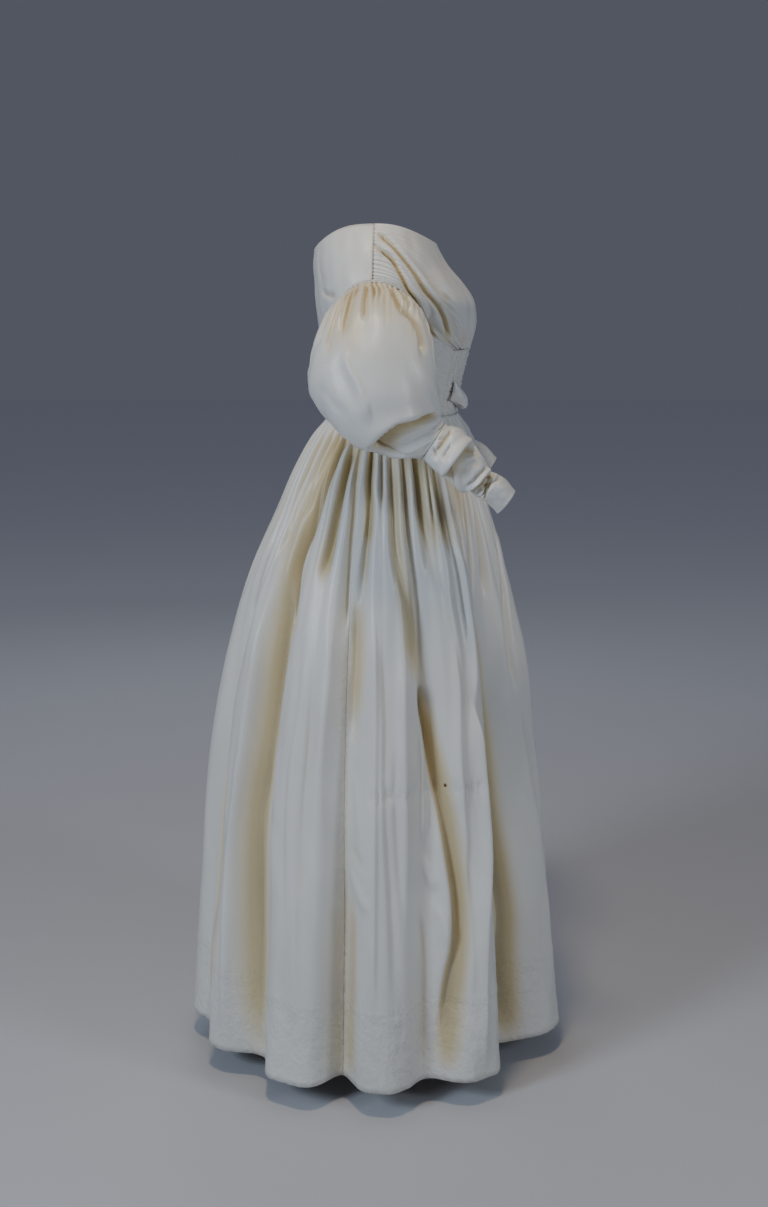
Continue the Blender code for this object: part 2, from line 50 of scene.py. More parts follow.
studio = {
    "cameraPlace": (-2.8, 0.0, -0.0587),
    "cameraDownDeg": 11.5,
    "lensMm": 50.0,
    "floorZ": -1.405,
    "floorHalf": 14.0,
    # floorNear and floorFar are painted light, darker round the dress and paler far off
    "floorNear": (0.56, 0.56, 0.58),
    "floorFar": (0.92, 0.93, 0.96),
    "skyColor": (0.090, 0.096, 0.124),
}

# name, place, size in metres, watts, color
LightRow = namedtuple("LightRow", "name place size watts color")
lights = [
    LightRow("coolWindow", (-2.4, 2.3, 0.7), 1.0, 56.0, (0.70, 0.83, 1.0)),
    LightRow("frontWindow", (-2.1, -2.8, 0.5), 0.9, 26.0, (0.76, 0.87, 1.0)),
    LightRow("warmCeiling", (-0.9, 0.2, 1.7), 0.35, 20.0, (1.0, 0.83, 0.60)),
    LightRow("farFill", (2.6, 0.4, 0.9), 1.6, 9.0, (0.86, 0.92, 1.0)),
]


def aimAt(thing, target):
    thing.rotation_euler = (Vector(target) - thing.location).to_track_quat("-Z", "Y").to_euler()


def linked(name, data):
    thing = bpy.data.objects.new(name, data)
    bpy.context.scene.collection.objects.link(thing)
    return thing


def makeCamera():
    data = bpy.data.cameras.new("photoCamera")
    data.lens = studio["lensMm"]
    data.sensor_width = 36.0
    data.sensor_fit = "AUTO"
    camera = linked("photoCamera", data)
    camera.location = studio["cameraPlace"]
    camera.rotation_euler = (math.radians(90.0 - studio["cameraDownDeg"]), 0.0, math.radians(-90.0))
    bpy.context.scene.camera = camera


def makeLights():
    for row in lights:
        data = bpy.data.lights.new(row.name, "AREA")
        data.shape = "DISK"
        data.size = row.size
        data.energy = row.watts
        data.color = row.color
        light = linked(row.name, data)
        light.location = row.place
        aimAt(light, (0.0, 0.0, -0.6))
    world = bpy.data.worlds.new("studio")
    world.use_nodes = True
    world.node_tree.nodes["Background"].inputs["Color"].default_value = (*studio["skyColor"], 1.0)
    bpy.context.scene.world = world


# Shader maths

class Sock:
    # One output socket, with the operators that the materials use.
    def __init__(self, tree, socket):
        self.tree = tree
        self.socket = socket

    def math(self, operation, other):
        node = self.tree.nodes.new("ShaderNodeMath")
        node.operation = operation
        plug(self.tree, node.inputs[0], self)
        plug(self.tree, node.inputs[1], other)
        return Sock(self.tree, node.outputs[0])

    def __add__(self, other):
        return self.math("ADD", other)

    __radd__ = __add__

    def __sub__(self, other):
        return self.math("SUBTRACT", other)

    def __rsub__(self, other):
        return self.math("MULTIPLY", -1.0).math("ADD", other)

    def __mul__(self, other):
        return self.math("MULTIPLY", other)

    __rmul__ = __mul__


def plug(tree, target, value):
    if isinstance(value, Sock):
        tree.links.new(value.socket, target)
    elif isinstance(value, tuple) and len(value) == 3 and target.type == "RGBA":
        target.default_value = (*value, 1.0)
    else:
        target.default_value = value


class Shop:
    # A material's node tree, with one method that makes any node.
    def __init__(self, name):
        self.material = bpy.data.materials.new(name)
        self.material.use_nodes = True
        self.tree = self.material.node_tree
        self.shader = self.tree.nodes["Principled BSDF"]

    def node(self, kind, out, settings, **values):
        made = self.tree.nodes.new(kind)
        for key, value in settings.items():
            setattr(made, key, value)
        for key, value in values.items():
            # i0, i1 and so on are inputs known by their number
            numbered = key[0] == "i" and key[1:].isdigit()
            plug(self.tree, made.inputs[int(key[1:]) if numbered else key], value)
        return Sock(self.tree, made.outputs[out])

    def attribute(self, name):
        return self.node("ShaderNodeAttribute", "Fac", {"attribute_name": name})

    def place(self):
        return self.node("ShaderNodeTexCoord", "Object", {})

    def noise(self, vector, scale, detail=2.0, roughness=0.5):
        # scale is a number for each axis, in waves a metre
        vector = self.node("ShaderNodeMapping", "Vector", {}, Vector=vector, Scale=scale)
        values = {"Vector": vector, "Scale": 1.0, "Detail": detail, "Roughness": roughness}
        return self.node("ShaderNodeTexNoise", "Fac", {}, **values)

    def onCloth(self, across, down, detail=2.0, roughness=0.5):
        place = self.node("ShaderNodeUVMap", "UV", {"uv_map": "UVMap"})
        return self.noise(place, (across, down, 1.0), detail, roughness)

    def mix(self, factor, first, second):
        return self.node("ShaderNodeMix", 2, {"data_type": "RGBA"}, i0=factor, i6=first, i7=second)

    def rise(self, value, low, high):
        # 0 below low and 1 above high
        ends = {"Value": value, "From Min": low, "From Max": high}
        return self.node("ShaderNodeMapRange", "Result", {"interpolation_type": "SMOOTHSTEP"}, **ends)


# Silk

# Painted shade: the tones darken and warm the silk from the open faces into the folds, as far as the trough
# attribute says. Each is full, at its most, from high on.
Tone = namedtuple("Tone", "color low high most")
silk = {
    "ivory": (0.70, 0.69, 0.645),
    "paleIvory": (0.78, 0.775, 0.735),
    "tones": [
        Tone((0.69, 0.60, 0.425), 0.06, 0.55, 0.9),
        Tone((0.56, 0.455, 0.235), 0.40, 1.05, 0.92),
        Tone((0.34, 0.27, 0.16), 1.02, 1.60, 0.6),
    ],
    "toneSpot": (0.67, 0.565, 0.40),
    "ribbonIvory": (0.86, 0.85, 0.80),
    "roughness": 0.38,
    "sheen": 0.06,
    "scorched": (0.33, 0.17, 0.06),
    "dark": (0.03, 0.02, 0.012),
    "holeDeg": 64.8,
    "holeZ": -0.875,
    "hemCrumpleZ": -1.222,
    "slubBump": 0.16,
    "crinkleBump": 0.35,
    "weaveHeight": 0.0009,
}


def holePlace():
    degrees, z = np.array([silk["holeDeg"]]), np.array([silk["holeZ"]])
    return tuple(float(part) for part in skirtSewn(degrees, z)[0][0])


def makeSilk(name, bright=0.0, crinkle=1.0, sewn=True, holes=False, pale=0.0):
    shop = Shop(name)
    slub = shop.onCloth(420.0, 26.0, 2.0, 0.6)
    weft = shop.onCloth(18.0, 520.0, 2.0, 0.6)
    soft = shop.noise(shop.place(), (7.0, 7.0, 3.2), 3.0, 0.55)
    crinkles = shop.onCloth(60.0, 34.0, 4.0, 0.62)
    blotch = shop.noise(shop.place(), (15.0, 15.0, 9.0))
    # the trough attribute carries the painted shade of folds, creases and gathers
    depth = shop.attribute("trough")
    paintedShade = depth + (soft - 0.5) * 0.30
    color = shop.mix(shop.rise(soft, 0.35, 0.70), silk["ivory"], silk["paleIvory"])
    for tone in silk["tones"]:
        color = shop.mix(shop.rise(paintedShade, tone.low, tone.high) * tone.most, color, tone.color)
    color = shop.mix(shop.rise(blotch, 0.66, 0.80) * 0.22, color, silk["toneSpot"])
    threads = (slub - 0.5) * 0.6 + (weft - 0.5) * 0.6
    color = shop.mix(shop.rise(threads, -0.30, 0.30) * 0.10, color, silk["paleIvory"])
    if pale:
        color = shop.mix(pale, color, silk["ribbonIvory"])
    height = threads * silk["weaveHeight"] * silk["slubBump"]
    height = height + (crinkles - 0.5) * silk["weaveHeight"] * silk["crinkleBump"] * crinkle
    level = shop.node("ShaderNodeSeparateXYZ", "Z", {}, Vector=shop.place())
    hemmed = 1.0 - shop.rise(level, silk["hemCrumpleZ"] - 0.008, silk["hemCrumpleZ"] + 0.008)
    crumples = shop.onCloth(120.0, 80.0, 3.0, 0.6)
    height = height + (crumples - 0.5) * (hemmed * 0.0022 + 0.00030)
    if sewn:
        line = shop.attribute("seamAway")
        thread = 1.0 - shop.rise(line, 0.0006, 0.0022)
        color = shop.mix(thread * 0.22, color, silk["toneSpot"])
        puckers = shop.onCloth(150.0, 75.0)
        height = height + (1.0 - shop.rise(line, 0.002, 0.018)) * (puckers - 0.5) * 0.0019 - thread * 0.0002
    if holes:
        distance = {"operation": "DISTANCE"}
        spot = shop.node("ShaderNodeVectorMath", "Value", distance, i0=shop.place(), i1=holePlace())
        ragged = spot + (slub - 0.5) * 0.0016
        color = shop.mix(1.0 - shop.rise(ragged, 0.0018, 0.0044), color, silk["scorched"])
        color = shop.mix(1.0 - shop.rise(ragged, 0.0012, 0.0020), color, silk["dark"])
        plug(shop.tree, shop.shader.inputs["Alpha"], shop.rise(ragged, 0.0006, 0.0011))
    plug(shop.tree, shop.shader.inputs["Base Color"], color)
    gloss = (soft - 0.5) * 0.16 + threads * 0.10 + silk["roughness"] - 0.5 * bright
    plug(shop.tree, shop.shader.inputs["Roughness"], gloss)
    shop.shader.inputs["Sheen Weight"].default_value = silk["sheen"]
    shop.shader.inputs["Sheen Roughness"].default_value = 0.45
    shop.shader.inputs["Specular IOR Level"].default_value = 0.48 + bright
    bump = shop.node("ShaderNodeBump", "Normal", {}, Strength=1.0, Distance=1.0, Height=height)
    plug(shop.tree, shop.shader.inputs["Normal"], bump)
    return shop.material


# Curves and sections, as in the frame's own making

def hermite(t, span, near, far, leaving, arriving):
    start, end = 2 * t**3 - 3 * t**2 + 1, 3 * t**2 - 2 * t**3
    leave, arrive = (t**3 - 2 * t**2 + t) * span, (t**3 - t**2) * span
    return start * near + end * far + leave * leaving + arrive * arriving


def smoothThrough(x, knots, values):
    knots = np.asarray(knots, float)
    values = np.asarray(values, float)
    slopes = np.gradient(values, knots, axis=0)
    x = np.clip(np.asarray(x, float), knots[0], knots[-1])
    i = np.clip(np.searchsorted(knots, x) - 1, 0, len(knots) - 2)
    span = knots[i + 1] - knots[i]
    t = (x - knots[i]) / span
    if values.ndim > 1:
        span, t = span[:, None], t[:, None]
    return hermite(t, span, values[i], values[i + 1], slopes[i], slopes[i + 1])


def tableColumn(rows, z, name):
    ordered = sorted(rows, key=lambda row: row.z)
    return smoothThrough(z, [row.z for row in ordered], [getattr(row, name) for row in ordered])


def ease(x, low, high):
    t = unit((x - low) / (high - low))
    return t * t * (3 - 2 * t)


def unit(x):
    return np.clip(x, 0.0, 1.0)


def bell(x):
    return np.exp(-(x**2))


def within(x, rise, fall):
    # 0 at both ends of 0 to 1, and 1 between rise and fall
    return ease(x, 0.0, rise) * (1 - ease(x, fall, 1.0))


def waves(phase, sharp):
    # from 0 to 1, with narrower crests where sharp is larger
    return (0.5 - 0.5 * np.cos(phase)) ** sharp


def normalsOf(surface, a, b, stepA, stepB, outward):
    across = surface(a + stepA, b) - surface(a - stepA, b)
    down = surface(a, b + stepB) - surface(a, b - stepB)
    normal = np.cross(across, down) * outward
    return normal / np.linalg.norm(normal, axis=-1, keepdims=True)


body = {
    "cloth": 0.0012,
    "seamGap": 0.0003,
    "pipingRadius": 0.0016,
    "waistZ": -0.303,
    "hemZ": -1.360,
    "middleY": 0.010,
    "neckFrontDrop": 0.030,
    "neckBackDrop": 0.039,
    "shoulderSeamDeg": 92.0,
    "armholeDeg": 93.0,
    "armholeFrontDeg": 24.0,
    "armholeBackDeg": 30.0,
    "armholeZ": -0.150,
    "armholeRise": 0.063,
    "armholeRadius": 0.12,
    "solidWall": 0.0016,
}
edgeMargin = body["pipingRadius"] + body["seamGap"]
halfGapDeg = math.degrees(0.1 * body["seamGap"] / body["armholeRadius"])
bodiceEndZ = body["waistZ"] + 0.2 * body["seamGap"]

Section = namedtuple("Section", "z halfWidth front back square")


def sectionTable(rows):
    # the first four of each row are in millimetres
    return [Section(*(0.001 * part for part in row[:4]), row[4]) for row in rows]


bodiceSections = sectionTable([
    (12, 135, -62, 92, 2.3),
    (0, 150, -71, 103, 2.3),
    (-20, 170, -81, 110, 2.3),
    (-40, 185, -91, 113.5, 2.3),
    (-63, 196, -105, 115, 2.3),
    (-90, 204, -128, 113.5, 2.3),
    (-115, 200, -146, 113, 2.3),
    (-140, 187, -152, 110.5, 2.3),
    (-165, 171, -151, 106.5, 2.2),
    (-195, 156, -143, 101.5, 2.2),
    (-225, 143, -136, 96, 2.1),
    (-258, 130, -128, 90, 2.1),
    (-290, 120.5, -121.5, 86, 2.05),
    (-320, 118.5, -119, 84, 2.05),
])
skirtSections = sectionTable([
    (-290, 118.5, -119, 84, 2.05),
    (-303, 122.5, -123, 89, 2.05),
    (-340, 144, -138, 119, 2.05),
    (-391, 170, -156, 149, 2.05),
    (-459, 198, -180, 180, 2),
    (-560, 229, -210, 226, 2),
    (-700, 262, -245, 269, 2),
    (-880, 292, -269, 304, 2),
    (-1100, 318, -291, 324, 2),
    (-1380, 337, -317, 346, 2),
])


def oval(sections, degrees, z, inset=0.0):
    angle = np.radians(degrees)
    power = 2.0 / tableColumn(sections, z, "square")
    side, ahead = np.sin(angle), np.cos(angle)
    side = np.sign(side) * np.abs(side) ** power
    ahead = np.sign(ahead) * np.abs(ahead) ** power
    frontDepth = body["middleY"] - tableColumn(sections, z, "front")
    backDepth = tableColumn(sections, z, "back") - body["middleY"]
    depth = np.where(ahead > 0, frontDepth, backDepth) - inset
    halfWidth = tableColumn(sections, z, "halfWidth") - inset
    return np.stack([-halfWidth * side, body["middleY"] - depth * ahead, z + 0 * degrees], axis=-1)


def bodicePoints(degrees, z):
    return oval(bodiceSections, degrees, z)


def bodiceNormals(degrees, z):
    return normalsOf(bodicePoints, degrees, z, 0.4, 0.002, -1.0)


def neckZ(degrees):
    ahead = np.cos(np.radians(degrees))
    drop = np.where(ahead > 0, body["neckFrontDrop"], body["neckBackDrop"])
    return -drop * ahead**2


def armholePlace(turn, margin=0.0):
    # turn 0 is the armhole's front, 90 its top and 180 its back
    side, ahead = np.sin(np.radians(turn)), np.cos(np.radians(turn))
    reach = np.where(ahead > 0, body["armholeFrontDeg"], body["armholeBackDeg"])
    degrees = body["armholeDeg"] - (reach + math.degrees(margin / body["armholeRadius"])) * ahead
    return degrees, body["armholeZ"] + (body["armholeRise"] + margin) * side


# Creases

# A crease follows its path over a surface, in the surface's own pairs of coordinates. Depth is a
# trough's, or a ridge's where it is negative. Its two widths are towards larger and smaller angles.
Crease = namedtuple("Crease", "path depth wideBack wideFront fade")


def creaseTable(rows, deep=0.001, down=-0.001):
    # A row gives depth, both widths and fade, then the path: degrees and a place down the cloth, by
    # turns. Widths are in millimetres, and the others take the units that deep and down state.
    table = []
    for depth, wideBack, wideFront, fade, *steps in rows:
        path = tuple((degrees, down * place) for degrees, place in zip(steps[::2], steps[1::2]))
        table.append(Crease(path, deep * depth, 0.001 * wideBack, 0.001 * wideFront, fade))
    return table


def creaseDepth(flat, across, down, creases):
    # flat turns the surface's coordinates into metres on the cloth
    here = flat(across, down)
    total = np.zeros(len(here))
    for crease in creases:
        knots = np.linspace(0.0, 1.0, len(crease.path))
        shares = np.linspace(0.0, 1.0, 7 * len(crease.path))
        steps = smoothThrough(shares, knots, np.array(crease.path, float))
        line = flat(steps[:, 0], steps[:, 1])
        widest = 3.0 * max(crease.wideBack, crease.wideFront)
        low, high = line.min(axis=0) - widest, line.max(axis=0) + widest
        near = np.flatnonzero(np.all((here > low) & (here < high), axis=1))
        spots = here[near]
        closest = np.full(len(near), 9.0)
        side, along = np.zeros(len(near)), np.zeros(len(near))
        for number, (start, end) in enumerate(zip(line, line[1:])):
            stretch = end - start
            share = unit((spots - start) @ stretch / max(stretch @ stretch, 1e-12))
            gap = spots - start - share[:, None] * stretch
            distance = np.hypot(gap[:, 0], gap[:, 1])
            nearer = distance < closest
            closest = np.where(nearer, distance, closest)
            side = np.where(nearer, stretch[0] * gap[:, 1] - stretch[1] * gap[:, 0], side)
            along = np.where(nearer, (number + share) / (len(line) - 1), along)
        width = np.where(side > 0, crease.wideBack, crease.wideFront) * (0.75 + 0.5 * along)
        ends = within(along, crease.fade, 1.0 - crease.fade)
        total[near] += crease.depth * ends * bell(closest / width)
    return total


def mirrored(creases, shiftDeg, shrink):
    # the same kind of creases for the hidden side, moved and made a little weaker
    turned = []
    for number, crease in enumerate(creases):
        sway = shiftDeg * math.sin(2.3 * number + 0.7)
        path = tuple((-(angle + sway), place) for angle, place in crease.path)
        depth = crease.depth * (1.0 - shrink * (0.5 + 0.5 * math.sin(1.7 * number)))
        turned.append(Crease(path, depth, crease.wideFront, crease.wideBack, crease.fade))
    return turned


def looseWaves(x, y, seed, count, shortest, longest):
    # soft uneven waves about 1 high, with lengths in metres
    chance = np.random.default_rng(seed)
    total = np.zeros(len(x))
    for wave in range(count):
        length = shortest * (longest / shortest) ** chance.random()
        turn = chance.random() * math.pi
        phase = chance.random() * 2 * math.pi
        total += np.sin(2 * math.pi * (x * math.cos(turn) + y * math.sin(turn)) / length + phase)
    return total / math.sqrt(count)


# Cloth shells

def smoothData(name, mesh):
    data = bpy.data.meshes.new(name)
    mesh.to_mesh(data)
    mesh.free()
    data.shade_smooth()
    return data


def addPiece(name, data, material, node=None):
    # links a piece, rides it on the dress's one body, gives it its silk and hides the solid that it replaces
    data.materials.append(material)
    piece = linked(name, data)
    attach(piece, "root")
    if node:
        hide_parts(node)
    return piece


def clothShell(node, grids, size, material, flatSize, held, restsOn, thick=body["cloth"], slot="silk_satin"):
    # Each grid gives points, outward normals, metres along the cloth, and the attributes of its places.
    columns, rows = size
    name = node + "Shell"
    mesh = bmesh.new()
    results = []
    for grid in grids:
        made = bmesh.ops.create_grid(mesh, x_segments=columns, y_segments=rows, size=0.5)["verts"]
        places = np.array([vert.co for vert in made]) + 0.5
        result = grid(places[:, 0], places[:, 1])
        points = result["points"].reshape(rows + 1, columns + 1, 3)
        across, down = np.diff(points, axis=1)[:-1], np.diff(points, axis=0)[:, :-1]
        outward = result["normals"].reshape(rows + 1, columns + 1, 3)[:-1, :-1]
        if np.sum(np.cross(across, down) * outward) < 0.0:
            bmesh.ops.reverse_faces(mesh, faces=list({face for vert in made for face in vert.link_faces}))
        results.append(result)
    data = bpy.data.meshes.new(name)
    mesh.to_mesh(data)
    mesh.free()
    data.vertices.foreach_set("co", np.concatenate([result["points"] for result in results]).ravel())
    spread = np.concatenate([result["spread"] for result in results])
    corners = np.zeros(len(data.loops), dtype=np.int32)
    data.loops.foreach_get("vertex_index", corners)
    data.uv_layers.new(name="UVMap").data.foreach_set("uv", spread[corners].ravel())
    # trough is how much painted shade a place gets, seamAway how far it lies from a seam line
    for key, usual in (("trough", 0.0), ("seamAway", 1.0)):
        values = [result.get(key, np.full(len(result["points"]), usual)) for result in results]
        data.attributes.new(key, "FLOAT", "POINT").data.foreach_set("value", np.concatenate(values))
    data.update()
    weldSeam(data)
    data.shade_smooth()
    shell = addPiece(name, data, material, node)
    wall = shell.modifiers.new("wall", "SOLIDIFY")
    wall.thickness = thick
    wall.offset = -1.0


def weldSeam(data):
    # closes a sleeve along its seam, and keeps each side's own place in the weave
    mesh = bmesh.new()
    mesh.from_mesh(data)
    bmesh.ops.remove_doubles(mesh, verts=mesh.verts[:], dist=1e-6)
    mesh.to_mesh(data)
    mesh.free()


# Bodice

bodiceCreases = creaseTable([
    (12, 7.8, 3.4, 0.12, 92, 7, 82, 22, 73, 41, 64, 71, 59, 109, 48, 156, 39, 188),
    (12, 6.4, 3.4, 0.1, 94, 26, 80, 52, 75, 77, 73, 101, 67, 144, 55, 180, 43, 206),
    (-2.2, 5, 6, 0.22, 86, 24, 77, 40, 69, 66, 64, 100, 53, 151, 43, 178),
    (3, 3, 2.4, 0.25, 53, 148, 47, 163, 40, 180),
    (4.2, 7.5, 4.8, 0.3, 37, 158, 28, 176, 21, 192),
    (2.4, 3, 3, 0.22, 31, 176, 26, 186, 23, 195),
    (2.8, 3, 2.2, 0.3, 84, 36, 78, 52, 76, 66),
    (2.4, 5, 4, 0.3, 78, 96, 74, 118, 66, 148),
    (1.8, 10, 12, 0.35, 60, 60, 50, 94, 42, 136),
    (1.6, 8, 10, 0.35, 70, 18, 52, 44, 40, 82),
    (1.4, 9, 9, 0.4, 12, 58, 13, 92, 12, 126),
])
backCreases = creaseTable([
    (3.4, 5, 4, 0.3, 148, 101, 137, 107, 125, 110),
    (1.6, 7, 7, 0.35, 162, 130, 146, 150, 128, 160),
    (1.2, 8, 8, 0.35, 170, 200, 150, 222, 124, 230),
    (1.2, 8, 8, 0.4, 152, 46, 150, 70, 144, 94),
])
sideCreases = creaseTable([
    (1.2, 6, 7, 0.35, 84, 225, 66, 236, 50, 232),
    (1.2, 6, 6, 0.35, 88, 262, 70, 270, 52, 268),
])

bodice = {
    "arcDeg": 38.0,
    "arcZ": -0.197,
    "lastTurn": -10.0,
    "crowding": 0.85,
    "shoulderGathers": 15,
    "shoulderGatherDepth": 0.0017,
    "longPleats": 22,
    "longPleatDepth": 0.0024,
    "arcGathers": 13,
    "arcGatherDepth": 0.0016,
    "midriffCrinkle": 0.0014,
    "flatRadius": 0.155,
}
backRows = (3, 9, 3)
backShoulderPart = backRows[0] / sum(backRows)
backSidePart = (backRows[0] + backRows[1]) / sum(backRows)
drapeArmholePart = 5 / 10
sideDrapePart = 5 / 9
DrapeFold = namedtuple("DrapeFold", "seamAt middleAt arcAt depth width")
drapeFolds = [
    DrapeFold(0.00, 0.16, 0.42, 0.003, 0.07),
    DrapeFold(0.12, 0.48, 0.76, 0.009, 0.075),
    DrapeFold(0.38, 0.76, 0.94, 0.008, 0.075),
]


def bodiceFlat(degrees, z):
    return np.stack([np.radians(degrees) * bodice["flatRadius"], z], axis=-1)


def bodiceGrid(degrees, z, depth, trough, seamAway):
    normals = bodiceNormals(degrees, z)
    return {
        "points": bodicePoints(degrees, z) - normals * depth[:, None],
        "normals": normals,
        "spread": bodiceFlat(degrees, z),
        "trough": trough,
        "seamAway": seamAway,
    }


def backEdge(v):
    seam = unit(v / backShoulderPart)
    turn = 90.0 + 180.0 * unit((v - backShoulderPart) / (backSidePart - backShoulderPart))
    side = unit((v - backSidePart) / (1.0 - backSidePart))
    degrees, z = armholePlace(turn, edgeMargin)
    top = body["armholeZ"] + body["armholeRise"] + edgeMargin
    bottom = body["armholeZ"] - body["armholeRise"] - edgeMargin
    seamTop = neckZ(body["shoulderSeamDeg"])
    onShoulder, onSide = v < backShoulderPart, v > backSidePart
    z = np.where(onShoulder, seamTop + (top - seamTop) * seam, z)
    z = np.where(onSide, bottom + (bodiceEndZ - bottom) * side, z)
    shoulderDeg, holeDeg = body["shoulderSeamDeg"], body["armholeDeg"]
    degrees = np.where(onShoulder, shoulderDeg + (holeDeg - shoulderDeg) * seam, degrees)
    degrees = np.where(onSide, holeDeg, degrees)
    return degrees + halfGapDeg, z


def backGrid(side):
    creases = backCreases if side > 0 else mirrored(backCreases, 3.0, 0.4)

    def grid(u, v):
        edgeDeg, edgeZ = backEdge(v)
        middleDeg = 180.0 - halfGapDeg
        degrees = middleDeg + (edgeDeg - middleDeg) * u
        levelZ = bodiceEndZ * v + neckZ(degrees) * (1 - v)
        z = levelZ + (edgeZ - levelZ) * u**2
        depth = creaseDepth(bodiceFlat, side * degrees, z, creases)
        inner = within(u, 0.06, 0.95) * within(v, 0.05, 0.96)
        soft = looseWaves(np.radians(degrees) * 0.15, z, 11 + side, 14, 0.035, 0.12)
        depth = inner * (depth + 0.0006 + 0.0006 * soft)
        away = np.minimum((1 - u) * 0.16, u * 0.16)
        away = np.minimum(away, 0.006 + (v > 0.03))
        # painted shade in the creases
        return bodiceGrid(side * degrees, z, depth, unit(depth / 0.004) * 0.5, away)
    return grid


def drapeParts(v):
    # how far along the first part, which ends at the armhole's last point, and along the rest
    return unit(v / drapeArmholePart), unit((v - drapeArmholePart) / (1.0 - drapeArmholePart))


def drapeUpper(v):
    onNeck, below = drapeParts(v)
    neckDeg = (body["shoulderSeamDeg"] - halfGapDeg) * (1.0 - onNeck)
    return neckDeg, neckZ(neckDeg) + (bodice["arcZ"] - neckZ(0.0)) * below


def drapeLower(v):
    onArmhole, below = drapeParts(v)
    holeDeg, holeZ = armholePlace(90.0 + (bodice["lastTurn"] - 90.0) * onArmhole, edgeMargin)
    degrees = holeDeg + (bodice["arcDeg"] - holeDeg) * below
    return degrees - halfGapDeg * (1 - onArmhole), holeZ + (bodice["arcZ"] - holeZ) * below


def drapeGrid(side):
    creases = bodiceCreases if side > 0 else mirrored(bodiceCreases, 2.0, 0.35)

    def grid(u, v):
        share = u + bodice["crowding"] * 4 * v * (1 - v) * u * (1 - u)
        upperDeg, upperZ = drapeUpper(v)
        lowerDeg, lowerZ = drapeLower(v)
        degrees = upperDeg + (lowerDeg - upperDeg) * share
        z = upperZ + (lowerZ - upperZ) * share + 0.5 * body["seamGap"]
        fold = 0 * v
        for row in drapeFolds:
            ends = row.seamAt + (row.arcAt - row.seamAt) * v
            centre = ends + (row.middleAt - 0.5 * (row.seamAt + row.arcAt)) * 4 * v * (1 - v)
            fold = fold + row.depth * bell((u - centre) / row.width)
        fold = fold * ease(v, 0.05, 0.5) * (1.0 - 0.6 * ease(v, 0.8, 1.0))
        crease = creaseDepth(bodiceFlat, side * degrees, z, creases)
        wander = 1.4 * np.sin(5.1 * u + 0.6) + 0.9 * np.sin(11.0 * u + 2.0)
        phase = 2 * math.pi * bodice["shoulderGathers"] * u + wander
        gathers = waves(phase, 1.2) * bodice["shoulderGatherDepth"]
        reach = 0.10 + 0.07 * np.sin(9.0 * u + 1.1) + 0.05 * np.sin(23.0 * u)
        gathers = gathers * (1 - ease(v, 0.3 * reach, 1.6 * reach)) * ease(u, 0.0, 0.05)
        lowPhase = 2 * math.pi * bodice["arcGathers"] * u + 1.2 * np.sin(7.0 * u)
        low = waves(lowPhase, 1.2) * bodice["arcGatherDepth"] * ease(v, 0.80, 0.97)
        longPhase = 2 * math.pi * bodice["longPleats"] * u
        longPhase = longPhase + 1.5 * np.sin(8.0 * u) + 0.9 * np.sin(19.0 * u + 1.0)
        held = 0.22 + 0.78 * (1 - ease(v, 0.10, 0.50)) + 0.55 * ease(v, 0.66, 0.90)
        fine = waves(longPhase, 3) * bodice["longPleatDepth"] * held
        fine = fine * ease(u, 0.06, 0.24) * (0.7 + 0.3 * np.sin(13.0 * u + 3.0 * v)) * ease(v, 0.0, 0.04)
        clear = 1 - 0.9 * unit(np.abs(crease) / 0.003)
        fine, gathers = fine * clear, gathers * clear
        soft = looseWaves(np.radians(degrees) * 0.15, z, 21 + side, 16, 0.030, 0.11)
        middle = within(u, 0.05, 0.96) * (1 - ease(v, 0.97, 1.0))
        depth = fold + middle * (crease + fine + 0.0007 + 0.0007 * soft) + gathers + low * ease(u, 0.02, 0.08)
        # painted shade in the folds, creases and gathers
        trough = np.clip((0.3 * fold + 0.85 * np.maximum(crease, 0) + gathers + fine + low) / 0.0065, 0, 1.5)
        away = np.minimum(v * 0.22, 0.012 + (1 - u) * 0.1)
        return bodiceGrid(side * degrees, z, depth, trough * 0.62, away)
    return grid


def midriffGrid(u, v):
    half = bodice["arcDeg"] - halfGapDeg
    degrees = half * (2.0 * u - 1.0)
    top = bodice["arcZ"] - 0.5 * body["seamGap"]
    z = top + (bodiceEndZ - top) * v
    x, y = np.radians(degrees) * 0.15, z
    crinkle = looseWaves(0.55 * x, 1.5 * y, 31, 26, 0.007, 0.022)
    pulls = looseWaves(1.7 * x, 0.35 * y, 32, 12, 0.012, 0.03)
    inner = within(u, 0.03, 0.97) * within(v, 0.03, 0.97)
    relief = bodice["midriffCrinkle"] * (1.4 + 0.75 * crinkle + 0.55 * pulls)
    depth = np.clip(relief, 0.0, 0.004) * inner
    away = np.minimum(np.minimum(v, 1 - v) * 0.105, 0.1)
    # painted shade in the crinkles
    return bodiceGrid(degrees, z, depth, unit(depth / 0.0035) * 0.35, away)


